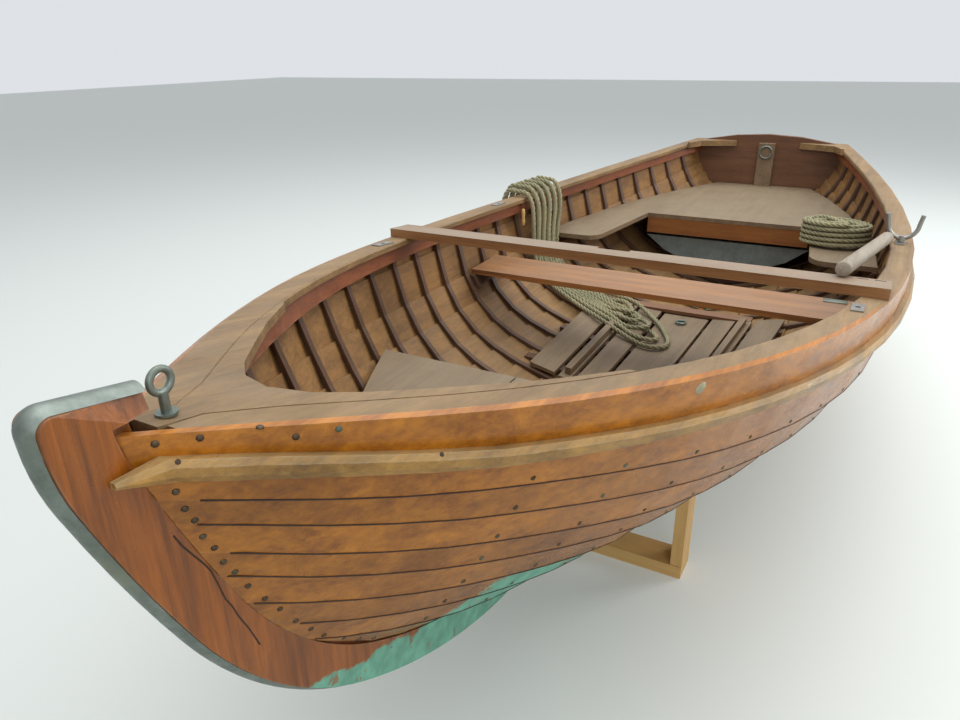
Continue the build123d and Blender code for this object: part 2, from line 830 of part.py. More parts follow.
inwale = lengthwise(inwale_outline, stations_between(fore_face, inwale_fore_x))
save("inwales", both_sides(bored(inwale, sleeve_radius + seat)))
cap = lengthwise(cap_outline, stations_between(stern_x, cap_fore_x))
save("gunwale_caps", both_sides(bored(cap, sleeve_radius + seat)))
rub_xs = [x for x in stations_between(stern_x, rub_end_x)]
save("rubbing_strakes", both_sides(lengthwise(rub_outline, rub_xs)))
print("gunwale done")


# Bow and stern knees
def slab(points, z0, z1):
    """A board of any outline in plan, from its lower to its upper face."""
    face = make_face(Polyline(*points, points[0]))
    return Pos(0, 0, z0 + keel_lift) * extrude(face, amount=z1 - z0, dir=(0, 0, 1))


def symmetric(half):
    """A plan outline from its port half, which starts and ends on the middle line."""
    return half + [(x, -y) for x, y in reversed(half) if y > 0]


def make_breasthook():
    """Broad knee between the gunwale caps, its after edge hollowed and running out along them."""
    aft, fore = hook_edge[-1].x, (head_edge(0.0)[-1] @ 1).X - seat

    def upper(x):
        y, top = cap_inner(x) - seat, sheer(x)
        return [(y, top - cap_thick), (y, top), (-y, top), (-y, top - cap_thick)]

    def lower(x):
        _, (y0, z0), (y1, z1), _ = inwale_outline(x)
        share = hook_deep / inwale_deep
        deep = (y0 + (y1 - y0) * share - seat, z0 + (z1 - z0) * share)
        neck = cap_inner(x) - 2 * seat
        half = [(neck, z0 + cap_thick / 2), (neck, z0), (y0 - seat, z0), deep]
        return half + mirrored(half)
    shape = lengthwise(upper, stations_between(aft, fore))
    shape = shape + lengthwise(lower, stations_between(hook_thick_x, inwale_fore_x))
    hollow = [(p.x, p.y) for p in hook_edge]
    behind = slab(symmetric(hollow + [(aft - land, hollow[-1][1]), (aft - land, 0.0)]), 0.0, head_height)
    hook = shape - behind
    hook = hook - Pos(eye_x, 0, keel_lift + sheer(eye_x)) * Cylinder(eye_shank + seat, 6 * cap_thick)
    return max(hook.solids(), key=lambda s: s.volume)


def make_quarter_knee():
    """Knee in the corner of transom and gunwale, flush with the cap."""
    x0, x1 = fore_face, fore_face + knee_long
    top, low = sheer(x0) - seat, sheer(x1) - cap_thick
    xs = stations_between(x0, x1)
    outer = [(x, cap_inner(x) - seat) for x in xs]
    y0, y1 = outer[0][1], outer[-1][1]
    hollow = [(x1, y1 - knee_end), (x0 + knee_long * 0.45, y1 - knee_wide * 0.30),
              (x0 + knee_long * 0.2, y0 - knee_wide * 0.55), (x0 + knee_end, y0 - knee_wide), (x0, y0 - knee_wide)]
    return slab(outer + hollow, low, top)


save("breasthook", [make_breasthook()])
save("quarter_knees", both_sides(make_quarter_knee()))
post = block(fore_face, fore_face + post_deep, -post_half, post_half, seat_level + seat, post_top)
save("transom_post", [post])
ring_x = fore_face + post_deep + seat + ring_wire
mooring_ring = Pos(ring_x, 0, keel_lift + ring_z) * Rot(0, 90, 0) * Torus(ring_radius, ring_wire)
save("transom_ring", [mooring_ring])


# Eye bolt through the breasthook
def make_eye_bolt():
    deck = sheer(eye_x + eye_flange) + seat + keel_lift
    under = sheer(eye_x) - cap_thick - 2 * seat + keel_lift
    eye = Pos(eye_x, 0, keel_lift + eye_z) * Rot(90, 0, 0) * Torus(eye_ring, eye_wire)
    low = under - eye_tail
    shank_top = keel_lift + eye_z - eye_ring
    shank = Pos(eye_x, 0, (low + shank_top) / 2) * Cylinder(eye_shank, shank_top - low)
    flange = Pos(eye_x, 0, deck + eye_plate / 2) * Cylinder(eye_flange, eye_plate)
    return eye + shank + flange


save("eye_bolt", [make_eye_bolt()])
print("knees done")


# Cross beam, thwart and seats
def make_beam():
    """Plank laid across the gunwale caps, tilted with the sheer, with a mast notch behind."""
    x0, x1 = beam_fore_x - beam_width, beam_fore_x
    low = [(x0, sheer(x0) + seat), (x1, sheer(x1) + seat)]
    high = [(x, z + beam_thick) for x, z in reversed(low)]
    beam = side_plate([Polyline(*low, *high, low[0])], beam_half)
    return beam - block(x0 - 1.0, x0 + notch_deep, -notch_wide / 2 + notch_offset, notch_wide / 2 + notch_offset,
                        0.0, head_height)


def seat_edge(x):
    """Outer edge of a seat: just clear of the ribs at its underside."""
    return inside_y(x, seat_level - seat_thick, rib_thick) - rib_clear


def edge_points(x0, x1):
    return [(x, seat_edge(x)) for x in stations_between(x0, x1)]


def make_bow_seat():
    """Tapering seat in the bow, of boards laid lengthwise."""
    outer = edge_points(bow_seat_x, bow_seat_fore)
    plan = slab(symmetric([(bow_seat_x, 0.0)] + outer + [(bow_seat_fore, 0.0)]), seat_level - seat_thick, seat_level)
    for y in (-bow_board / 2, bow_board / 2):
        plan = plan - block(0.0, stem_x, y - board_gap / 2, y + board_gap / 2, 0.0, head_height)
    return plan.solids()


def make_stern_seat():
    """Seat across the stern with an arm forward along each side."""
    outer = edge_points(fore_face + seat, arm_fore_x)
    lean = (arm_half_fore - arm_half_aft) / (arm_fore_x - stern_seat_x)
    r = arm_corner
    tip = arm_half_fore
    corner = [(arm_fore_x - r + r * sin(radians(a)), tip + r - r * cos(radians(a))) for a in (90, 60, 30)]
    inner = corner + [(arm_fore_x - r, tip - lean * r), (stern_seat_x, arm_half_aft), (stern_seat_x, 0.0)]
    half = [(fore_face + seat, 0.0)] + outer + inner
    return slab(symmetric(half), seat_level - seat_thick, seat_level)


save("cross_beam", [make_beam()])
x0, x1 = thwart_fore_x - thwart_width, thwart_fore_x
thwart_plan = edge_points(x0, x1)
thwart = slab(thwart_plan + [(x, -y) for x, y in reversed(thwart_plan)], seat_level - seat_thick, seat_level)
save("thwart", [thwart])
save("bow_seat", make_bow_seat())
save("stern_seat", [make_stern_seat()])


def riser_outline(x):
    return on_ribs(x, seat_level - seat_thick - seat, riser_thick, riser_deep, rib_clear)


risers = []
for a, b in riser_runs:
    risers += both_sides(lengthwise(riser_outline, stations_between(a, b)))
save("seat_risers", risers)
fascia_top = seat_level - seat_thick - seat
fascia = block(stern_seat_x - fascia_back - fascia_thick, stern_seat_x - fascia_back, -arm_half_aft, arm_half_aft,
               fascia_top - fascia_deep, fascia_top)
save("seat_fascia", [fascia])


# Galvanised tank under the stern seat
Corner = namedtuple("Corner", "y z")
tank_fore = [Corner(395.0, 334.0), Corner(300.0, 262.0), Corner(150.0, 200.0)]
tank_aft = [Corner(300.0, 334.0), Corner(225.0, 290.0), Corner(90.0, 245.0)]


def make_tank():
    """Sheet-metal tank, sloped underneath to suit the planking, with its filler hole on top."""
    def outline(corners, inset):
        half = [(c.y - inset, c.z + inset * k) for c, k in zip(corners, (-1, 1, 1))]
        return half + mirrored(half)
    fore, aft = tank_fore_x, tank_fore_x - tank_length
    shell = ruled([(aft, outline(tank_aft, 0.0)), (fore, outline(tank_fore, 0.0))])
    void = ruled([(aft + tank_wall, outline(tank_aft, tank_wall)), (fore - tank_wall, outline(tank_fore, tank_wall))])
    hole = Pos(fore - tank_length / 2, 0, tank_fore[0].z + keel_lift) * Cylinder(tank_hole, 4 * tank_wall)
    return shell - void - hole


save("stern_tank", [make_tank()])
print("seats done")


def bow_bearer_outline(x):
    """Ledge between the risers that carries the boards of the bow seat."""
    _, (y0, z0), (y1, _), _ = riser_outline(x)
    share = ledge_deep / riser_deep
    half = [(y0 - 3 * seat, z0), (y0 + (y1 - y0) * share - 3 * seat, z0 - ledge_deep)]
    return half + mirrored(half)


save("bow_seat_bearers", [lengthwise(bow_bearer_outline, stations_between(x, x + ledge_width)) for x in ledge_x])


# Bottom boards on bearers that lie on the planking
def board_span(b, x):
    """Inner and outer edge of a board at x: they close in towards the bow."""
    scale = 1.0 - board_taper * (x - board_aft_x) / (board_fore_x - board_aft_x)
    return b.inner * scale, (b.inner + b.width) * scale


def board_outline(b, lift):
    def outline(x):
        y0, y1 = board_span(b, x)
        z0, z1 = b.low + lift, b.high + lift
        return [(y0, z0), (y1, z1), (y1, z1 + b.thick), (y0, z0 + b.thick)]
    return outline


def middle_board(b):
    """The widest board lies across the middle line in one piece."""
    def outline(x):
        _, y1 = board_span(b, x)
        return [(y1, b.low), (y1, b.low + b.thick), (-y1, b.low + b.thick), (-y1, b.low)]
    return outline


def bearer(x, width, half_span, tops_at):
    """Cross bearer: it lies on the laps of the planking below, and its top runs through tops_at(x)."""
    def outline(at):
        line = [p for p in inner_line(at, seat, laps_at(at)) if p[0] < half_span]
        half = [(half_span, line_height(at, half_span))] + line
        tops = tops_at(at)
        return half + mirrored(half) + [(-y, z) for y, z in tops] + list(reversed(tops))
    return ruled([(at, outline(at)) for at in (x - width / 2, x + width / 2)])


def board_tops(x):
    """The undersides of the bottom boards, one seat down, from the outermost in."""
    y, z = bearer_half, boards[-1].high + bearer_rise
    tops = [(y, z - seat)]
    for b in reversed(boards[1:]):
        y0, y1 = board_span(b, x)
        tops += [(y1, b.high - seat), (y0, b.low - seat)]
    _, y1 = board_span(boards[0], x)
    return tops + [(y1, boards[0].low - seat)]


def line_height(x, y):
    """Height of the inner corners' line of the planking at half breadth y, one seat up."""
    points = inner_line(x, seat, laps_at(x))
    for (y0, z0), (y1, z1) in zip(points, points[1:]):
        if y1 <= y <= y0:
            return z0 + (z1 - z0) * (y0 - y) / (y0 - y1)
    return points[-1][1]


def tank_tops(x):
    t = (tank_fore_x - x) / tank_length
    y = tank_fore[-1].y + (tank_aft[-1].y - tank_fore[-1].y) * t
    z = tank_fore[-1].z + (tank_aft[-1].z - tank_fore[-1].z) * t
    return [(y - tank_bearer_in, z - seat)]


tank_bearers = []
for x in tank_bearer_x:
    half_span = tank_tops(x - bearer_width / 2)[0][0]
    tank_bearers.append(bearer(x, bearer_width, half_span, lambda at: [(half_span, tank_tops(at)[0][1])]))
save("tank_bearers", tank_bearers)
ends = [board_aft_x, board_fore_x]
planks_flat = [lengthwise(middle_board(boards[0]), ends)]
for b in boards[1:]:
    planks_flat += both_sides(lengthwise(board_outline(b, 0.0), ends))
save("bottom_boards", planks_flat)
rails = []
for b in raised:
    rails += both_sides(lengthwise(board_outline(b, 0.0), [board_aft_x + rail_short, board_fore_x - rail_short]))
save("bottom_rails", rails)
bearers = [bearer(x, bearer_width, bearer_half, board_tops) for x in bearer_x]
x0 = board_aft_x - floorboard_width - board_gap
flat_top = [(floorboard_half, floorboard_low - seat)]
bearers.append(bearer(x0 + floorboard_width / 2, bearer_width, floorboard_half, lambda x: flat_top))
save("board_bearers", bearers)
cross = block(x0, x0 + floorboard_width, -floorboard_half, floorboard_half, floorboard_low,
              floorboard_low + board_thick)
save("cross_floorboard", [cross])
ring_low = boards[0].low + boards[0].thick + seat
lift_plate = Pos(lift_x, 0, ring_low + lift_thick / 2 + keel_lift) * Box(lift_long, lift_long / 2, lift_thick)
lift_loop = Pos(lift_x, 0, ring_low + lift_thick + lift_wire + keel_lift) * Torus(lift_radius, lift_wire)
lift_lug = Pos(lift_x + lift_radius, 0, ring_low + lift_thick + lift_wire + keel_lift) * Box(
    3 * lift_wire, 3 * lift_wire, 2 * lift_wire)
lift_low = Pos(lift_x + lift_radius, 0, ring_low + lift_thick / 2 + keel_lift) * Box(3 * lift_wire, 3 * lift_wire, lift_thick)
save("lifting_ring", [lift_plate + lift_loop + lift_lug + lift_low])
print("boards done")


# Rowlock sockets and the rowlock
def make_socket(x, y):
    """Plate on the cap with a sleeve down through it."""
    half, wide = socket_plate / 2, socket_width / 2

    def outline(at):
        z = sheer(at) + seat
        return [(y - wide, z), (y + wide, z), (y + wide, z + socket_thick), (y - wide, z + socket_thick)]
    plate = lengthwise(outline, stations_between(x - half, x + half))
    top = sheer(x) + keel_lift
    sleeve = Pos(x, y, top + socket_thick / 2 - sleeve_length / 2) * Cylinder(
        sleeve_radius, sleeve_length + socket_thick)
    bore = Pos(x, y, top) * Cylinder(socket_bore, 4 * sleeve_length)
    return plate + sleeve - bore


sockets = []
for x, y in bores:
    sockets += both_sides(make_socket(x, y))
save("rowlock_sockets", sockets)


def make_rowlock():
    """Bronze crutch on its pin, turned with its mouth along the boat."""
    x, y = bores[1]
    seat_z = sheer(x) + keel_lift + socket_thick + collar_gap + seat
    collar = Pos(x, y, seat_z + collar_high / 2) * Cylinder(collar_radius, collar_high)
    pin = Pos(x, y, seat_z - pin_length / 2 + collar_high / 2) * Cylinder(pin_radius, pin_length + collar_high)
    heart = seat_z + collar_high + horn_radius
    base = heart - horn_radius
    left, right = (-horn_radius, heart), (horn_radius, heart)
    arc = ThreePointArc(left, (0.0, base), right)
    rise = horn_rise
    path = Plane(origin=(x, y, 0), x_dir=(0, 1, 0), z_dir=(1, 0, 0)) * Wire(
        [Line((left[0] - horn_flare, left[1] + rise), left), arc, Line(right, (right[0] + horn_flare, right[1] + rise))])
    profile = Plane(origin=path @ 0, z_dir=path % 0)
    horns = sweep(profile * Circle(horn_wire), path=path, transition=Transition.ROUND)
    neck = Pos(x, y, seat_z + collar_high / 2 + horn_wire / 2) * Cylinder(neck_radius, collar_high + horn_wire)
    return horns + neck + collar + pin


save("rowlock", [make_rowlock()])
print("fittings done")


# Cradles
def under_hull(x, y):
    """Height of the lowest part of the planking's outside near half breadth y."""
    k, low = spread(x), []
    for j in range(1, len(strakes) + 1):
        (_, n), corners = lap_point(j, x), lap(j, x)
        low.append(shift(corners[0], n, lip(j, x) * k))
    points = sorted(low)
    for (y0, z0), (y1, z1) in zip(points, points[1:]):
        if y0 <= y <= y1:
            return z0 + (z1 - z0) * (y - y0) / (y1 - y0)
    return points[0][1]


def make_post(x):
    """Upright at the end of the base, its head cut to the run of the planking."""
    y0, y1 = base_half - post_thick, base_half

    def outline(at):
        return [(y0, foot), (y1, foot), (y1, under_hull(at, y1) - post_clear), (y0, under_hull(at, y0) - post_clear)]
    foot = base_thick + seat - keel_lift
    return ruled([(at, outline(at)) for at in (x - post_width / 2, x + post_width / 2)])


bases, posts, chocks = [], [], []
for x in cradle_x:
    bases.append(block(x - base_width / 2, x + base_width / 2, -base_half, base_half, -keel_lift, base_thick - keel_lift))
    posts += both_sides(make_post(x))
    chocks.append(block(x - post_width / 2, x + post_width / 2, -chock_half, chock_half,
                        base_thick + seat - keel_lift, -seat))
save("cradle_bases", bases)
save("cradle_posts", posts)
save("keel_blocks", chocks)
print("cradles done")
for x, y in bores:
    print("socket", x, round(y, 2), round(sheer(x) + keel_lift, 2))
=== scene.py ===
# %% [markdown]
# # A clinker rowing boat, dressed in Blender
# The solid model of the boat is loaded first and is not touched: it says where every plank, rib and seat is.
# What is added here is what the solids leave out, which is the finish of every surface and the small metal
# and rope pieces. Each step says what the real thing is, how it could be made, and why this way was chosen.

# %% Load the solids
from collections import namedtuple
from math import cos, pi, radians, sin

import bpy
import numpy as np
from mathutils import Matrix, Vector
from mathutils.bvhtree import BVHTree


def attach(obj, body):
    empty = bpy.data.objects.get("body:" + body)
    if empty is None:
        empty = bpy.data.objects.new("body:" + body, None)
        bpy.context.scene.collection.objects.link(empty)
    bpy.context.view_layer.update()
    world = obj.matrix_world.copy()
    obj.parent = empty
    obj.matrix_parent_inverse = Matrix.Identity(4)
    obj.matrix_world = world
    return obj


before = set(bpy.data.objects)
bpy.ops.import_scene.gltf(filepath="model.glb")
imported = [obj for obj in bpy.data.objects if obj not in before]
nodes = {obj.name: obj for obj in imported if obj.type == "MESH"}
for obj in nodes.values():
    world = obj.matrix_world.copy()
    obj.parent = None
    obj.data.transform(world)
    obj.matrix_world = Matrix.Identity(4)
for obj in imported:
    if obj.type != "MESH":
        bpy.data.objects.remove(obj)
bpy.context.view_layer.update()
strakes = sorted(name for name in nodes if name.startswith("strake_"))      # garboard first, sheer strake last

# %% [markdown]
# ## The camera
# A photograph fixes the camera completely: where it stood, which way it pointed and how wide its lens was.
# The values below were fitted to lines whose real shape is known, such as the straight keel, the beam and the
# cradle. Blender wants the same thing as three axes, so they are worked out and put into one matrix.

# %% Camera
eye = Vector((2.526, 0.668, 1.432))
yaw, pitch, roll = (radians(a) for a in (29.343, 23.459, -0.893))
focal_px, sensor_mm = 723.0, 36.0
picture_wide, picture_high = 960, 720       # pixels of the photograph
look = Vector((-cos(yaw) * cos(pitch), -sin(yaw) * cos(pitch), -sin(pitch)))
level_right = look.cross(Vector((0, 0, 1))).normalized()
level_up = level_right.cross(look)
right = cos(roll) * level_right + sin(roll) * level_up
up = cos(roll) * level_up - sin(roll) * level_right
camera = bpy.data.objects.new("camera", bpy.data.cameras.new("camera"))
camera.data.sensor_fit, camera.data.sensor_width = "HORIZONTAL", sensor_mm
camera.data.lens = focal_px / picture_wide * sensor_mm
camera.matrix_world = Matrix((right, up, -look)).transposed().to_4x4()
camera.location = eye
camera.data.clip_start, camera.data.clip_end = 0.02, 60.0
bpy.context.collection.objects.link(camera)
bpy.context.scene.camera = camera
print("lens", round(camera.data.lens, 2), "mm")

# %% [markdown]
# ## Meshes from whole arrays
# Small pieces are worked out with numpy as arrays of points and then handed to Blender in one go. This is
# much quicker than adding one point at a time, and a formula is easier to check than a hand-made mesh. Most
# of the pieces are tubes: rings of points, one after another, with a cap on each end.

# %% Helpers for new pieces
def unit(vectors):
    """Vectors of length one, along a single vector or along each row."""
    return vectors / np.linalg.norm(vectors, axis=-1, keepdims=True)


def circle(side, across, around):
    """Points of a circle of radius one in the plane of two directions, for one pair or for rows of pairs."""
    angle = np.linspace(0.0, 2 * pi, around, endpoint=False)[:, None]
    return np.cos(angle) * side[..., None, :] + np.sin(angle) * across[..., None, :]


def tube_faces(rings, around, start=0):
    """Quads between rings of points, ring after ring, and a cap on each end; start is the first point."""
    i, j = np.meshgrid(np.arange(rings - 1), np.arange(around), indexing="ij")
    k = (j + 1) % around
    quads = np.stack([i * around + j, i * around + k, (i + 1) * around + k, (i + 1) * around + j], axis=-1)
    last = start + (rings - 1) * around
    caps = [list(range(start + around - 1, start - 1, -1)), list(range(last, last + around))]
    return (quads.reshape(-1, 4) + start).tolist() + caps


def add_piece(name, points, faces, material, slot=None, body="boat"):
    """Puts an array of points and a list of faces into a smooth mesh that rides on a body."""
    mesh = bpy.data.meshes.new(name)
    mesh.from_pydata(np.asarray(points, dtype=float).reshape(-1, 3).tolist(), [], faces)
    mesh.update()
    mesh.polygons.foreach_set("use_smooth", [True] * len(mesh.polygons))
    piece = bpy.data.objects.new(name, mesh)
    bpy.context.collection.objects.link(piece)
    mesh.materials.append(material)
    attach(piece, body)
    return piece


# %% [markdown]
# ## Shader nodes in few words
# Materials are built from nodes. A small class gives each kind of node a short call, so that a material reads
# like a formula instead of a page of links.

# %% Node helpers
def new_group(name, inputs, outputs):
    """An empty shader group with typed inputs, each with its default, and typed outputs."""
    group = bpy.data.node_groups.new(name, "ShaderNodeTree")
    kinds = {"f": "NodeSocketFloat", "c": "NodeSocketColor", "v": "NodeSocketVector"}
    for label, kind, value in inputs:
        socket = group.interface.new_socket(label, in_out="INPUT", socket_type=kinds[kind])
        if value is not None:
            socket.default_value = value
    for label, kind in outputs:
        group.interface.new_socket(label, in_out="OUTPUT", socket_type=kinds[kind])
    return group


class Tree:
    """Short names for adding and wiring nodes of one tree."""

    def __init__(self, tree):
        self.tree = tree

    def add(self, kind, out=0, settings=None, **inputs):
        """A new node and one of its outputs; inputs go by name, or by number as i0, i1 and so on."""
        node = self.tree.nodes.new("ShaderNode" + kind)
        for key, value in (settings or {}).items():
            setattr(node, key, value)
        for key, value in inputs.items():
            numbered = key[0] == "i" and key[1:].isdigit()
            self.set(node, int(key[1:]) if numbered else key.replace("_", " "), value)
        return node.outputs[out]

    def set(self, node, key, value):
        """Links an output to an input, or sets the input to a plain value."""
        socket = node.inputs[key]
        if isinstance(value, bpy.types.NodeSocket):
            self.tree.links.new(value, socket)
        else:
            socket.default_value = value

    def math(self, operation, a, b=0.0, c=0.0):
        return self.add("Math", settings={"operation": operation}, i0=a, i1=b, i2=c)

    def mix(self, factor, a, b, blend="MIX"):
        """Colour a where the factor is zero and b where it is one."""
        node = self.tree.nodes.new("ShaderNodeMix")
        node.data_type, node.blend_type = "RGBA", blend
        for key, value in ((0, factor), (6, a), (7, b)):        # the colour inputs of this node are 6 and 7
            self.set(node, key, value)
        return node.outputs[2]

    def noise(self, vector, scale, detail=4.0, rough=0.55):
        return self.add("TexNoise", Vector=vector, Scale=scale, Detail=detail, Roughness=rough)

    def span(self, value, low, high, to_low=0.0, to_high=1.0):
        """Values from low to high stretched to a new range and held at its ends."""
        return self.add("MapRange", settings={"clamp": True}, i0=value, i1=low, i2=high, i3=to_low,
                        i4=to_high)


def tone(rgb):
    """A colour as the nodes want it, with full opacity."""
    return (*rgb, 1.0)


def principled(name):
    """A new material with its tree and its shader."""
    material = bpy.data.materials.new(name)
    material.use_nodes = True
    return material, Tree(material.node_tree), material.node_tree.nodes["Principled BSDF"]


# %% [markdown]
# ## Rope
# A laid rope is three strands that wind around each other. Each strand is a tube along a helix about the
# rope's own centre line. The centre line is a smooth NURBS curve through a few points that say where the rope
# lies. The strands are worked out along points read back from that curve, so they follow every bend of it.

# %% Rope maker
STRAND_OFF, STRAND_RADIUS = 0.25, 0.262     # a strand's centre off the line and its radius, in thicknesses
TURN = 3.4                      # length of one full turn of the strands, in thicknesses


def distances(points):
    """The distance of each point from the first one, along the line."""
    return np.concatenate([[0.0], np.cumsum(np.linalg.norm(np.diff(points, axis=0), axis=1))])


def centre_line(name, route, step=0.006):
    """Points every step along a NURBS curve of the route, read back from Blender's own curve."""
    curve = bpy.data.curves.new(name, "CURVE")
    curve.dimensions = "3D"
    spline = curve.splines.new("NURBS")
    spline.points.add(len(route) - 1)
    for point, place in zip(spline.points, route):
        point.co = (*place, 1.0)
    spline.order_u = 3
    spline.use_endpoint_u = True
    spline.resolution_u = 12
    holder = bpy.data.objects.new(name, curve)
    mesh = bpy.data.meshes.new_from_object(holder)
    points = np.array([v.co[:] for v in mesh.vertices])
    bpy.data.objects.remove(holder)
    along = distances(points)
    even = np.linspace(0.0, along[-1], int(along[-1] / step) + 1)
    return np.stack([np.interp(even, along, points[:, k]) for k in range(3)], axis=1), along[-1]


def carried_frames(line):
    """Two directions square to the line at each point, carried along it without twisting."""
    tangent = unit(np.gradient(line, axis=0))
    side = np.cross(tangent[0], (0.3, 0.2, 1.0))
    sides = []
    for direction in tangent:
        side = unit(side - direction * (side @ direction))
        sides.append(side)
    return np.array(sides), np.cross(tangent, sides)


def twisted(line, thickness, around=8, strands=3):
    """Points and faces of the strands. Each strand's centre stands a quarter of the thickness off the line,
    at an angle that grows by a full turn every TURN thicknesses; its circle is a bit wider than that."""
    side, across = carried_frames(line)
    distance = distances(line)
    points, faces = [], []
    for k in range(strands):
        turn = 2 * pi * (distance / (TURN * thickness) + k / strands)
        out = np.cos(turn)[:, None] * side + np.sin(turn)[:, None] * across
        heart = line + STRAND_OFF * thickness * out
        way = unit(np.gradient(heart, axis=0))
        first = unit(out - way * np.sum(out * way, axis=1)[:, None])
        shell = heart[:, None] + STRAND_RADIUS * thickness * circle(first, np.cross(way, first), around)
        points.append(shell.reshape(-1, 3))
        faces += tube_faces(len(line), around, start=k * len(line) * around)
    return np.concatenate(points), faces


def rope_material():
    """Old hemp: grey yellow and green grey patches with short fibres along it."""
    material, t, shader = principled("old_rope")
    place = t.add("TexCoord", out="Object")
    patch = t.span(t.noise(place, 7.0, 5.0), 0.35, 0.65)
    fibre = t.span(t.noise(place, 220.0, 3.0, 0.7), 0.3, 0.7)
    base = t.mix(patch, tone((0.44, 0.40, 0.235)), tone((0.31, 0.30, 0.18)))
    t.set(shader, "Base Color", t.mix(t.math("MULTIPLY", fibre, 0.5), base, tone((0.19, 0.175, 0.10))))
    t.set(shader, "Roughness", t.span(fibre, 0.0, 1.0, 0.72, 0.95))
    t.set(shader, "Normal", t.add("Bump", Height=fibre, Strength=0.5, Distance=0.0012))
    return material


def make_rope(name, route, thickness):
    """A rope of the given thickness along a route, with its length printed."""
    line, length = centre_line(name, route)
    points, faces = twisted(line, thickness)
    piece = add_piece(name, points, faces, old_rope)
    print(name, "is", round(length, 2), "m long")


old_rope = rope_material()

# %% [markdown]
# ## The hank over the gunwale
# A long rope was made up into loops and thrown over the starboard gunwale. Ten strands lie side by side on
# the cap; outside they hang in short bights, inside they run down the ribs and end in loops on the bottom
# boards. Every strand keeps to its own lane from outside to inside, so no two ever meet, and the loops on the
# boards that change lanes lie on top of the strands that they cross.

# %% Hank lanes
HANK_ROPE = 0.0195              # thickness of this rope
LANES, LANE_PITCH = 10, 0.0212  # number of lanes, and from one to the next on the boards
NARROWING = 0.018               # the boat is so much narrower at the last lane than at the first
Rail = namedtuple("Rail", "y z first last lift_y lift_z")     # lift: what an upper strand adds
rails = [                       # from outside the hull, over the cap and down to the boards
    Rail(0.812, 0.770, -0.355, -0.620, 0.004, 0.000),
    Rail(0.806, 0.812, -0.355, -0.620, 0.008, 0.006),
    Rail(0.785, 0.853, -0.355, -0.615, 0.002, 0.016),
    Rail(0.738, 0.846, -0.352, -0.608, 0.000, 0.018),
    Rail(0.690, 0.846, -0.348, -0.598, -0.004, 0.018),
    Rail(0.660, 0.800, -0.342, -0.580, -0.012, 0.006),
    Rail(0.652, 0.735, -0.336, -0.556, -0.012, 0.000),
    Rail(0.648, 0.660, -0.332, -0.532, -0.008, 0.000),
    Rail(0.644, 0.585, -0.330, -0.530, -0.003, 0.000),
    Rail(0.620, 0.500, -0.332, -0.535, 0.000, 0.000),
    Rail(0.566, 0.450, -0.338, -0.542, 0.000, 0.000),
]
boards_start = np.array((-0.330, -0.490))   # where the first lane comes down to the boards
run = np.array((0.471, 0.882))              # the way the strands run on the boards
beside = np.array((-0.882, 0.471))          # from one lane to the next
rests = np.array([(0.0, 0.342), (0.10, 0.345), (0.19, 0.356), (0.225, 0.384), (0.26, 0.384), (0.33, 0.384),
                  (0.40, 0.394), (0.485, 0.408), (0.556, 0.446)])     # off the middle, height of a strand


def lane_points(lane):
    """The route of a lane from outside down to the boards; every other lane lies higher on the cap."""
    share, upper = lane / (LANES - 1), lane % 2
    return [(r.first + (r.last - r.first) * share, -(r.y + upper * r.lift_y + NARROWING * (0.5 - share)),
             r.z + upper * r.lift_z) for r in rails]


def rest_height(y):
    """The height at which a strand rests on the boards and ribs, so far to starboard."""
    return float(np.interp(-y, rests[:, 0], rests[:, 1]))


def on_boards(lane, along, above=0.0):
    """A point of a lane on the boards: so far along from the ribs, and so much above what it lies on."""
    x, y = boards_start + run * along + beside * lane * LANE_PITCH
    return (x, y, rest_height(y) + above)


# %% Hank route
Round = namedtuple("Round", "leave enter height out back reach")
rounds = [                      # a bight outside from one lane to another, then a loop on the boards and back
    Round(9, 1, 0.665, 0.810, 5, 0.415),
    Round(5, 2, 0.700, 0.828, 6, 0.345),
    Round(6, 3, 0.728, 0.829, 7, 0.275),
    Round(7, 4, 0.756, 0.830, 8, 0.205),
]
OVER = 0.022                    # how high a loop is lifted over the strands that it crosses
big_loop = [(-0.262, -0.395), (-0.205, -0.300), (-0.150, -0.200), (-0.098, -0.105), (-0.070, -0.035),
            (-0.092, 0.018), (-0.160, 0.022), (-0.250, -0.020), (-0.340, -0.070), (-0.425, -0.140),
            (-0.480, -0.230), (-0.505, -0.320), (-0.524, -0.410)]
first_end, last_end = (-0.352, -0.815, 0.690), (-0.600, -0.824, 0.700)     # both hang outside the hull


def bight(turn):
    """Outside: points at shares of the way between two lanes, each so much above the bight's height."""
    x0, x1 = lane_points(turn.leave)[0][0], lane_points(turn.enter)[0][0]
    shape = [(0.0, 0.055), (0.12, 0.008), (0.5, -0.012), (0.88, 0.008), (1.0, 0.055)]
    return [(x0 * (1.0 - share) + x1 * share, -turn.out, turn.height + above) for share, above in shape]


def loop(turn, over):
    """On the boards: out along a lane, round in a bow over the strands between, and back along another."""
    bow = [(turn.enter - 0.35, -0.020, 0.2), (turn.enter + 0.6, 0.052, 1.0), (turn.enter + 2.0, 0.070, 1.25),
           (turn.enter + 3.4, 0.052, 1.25), (turn.back + 0.35, -0.020, 0.9)]     # lane, past the reach, lift
    return [on_boards(turn.enter, 0.06), on_boards(turn.enter, turn.reach - 0.10),
            *[on_boards(lane, turn.reach + past, over * lift) for lane, past, lift in bow],
            on_boards(turn.back, turn.reach - 0.10), on_boards(turn.back, 0.03)]


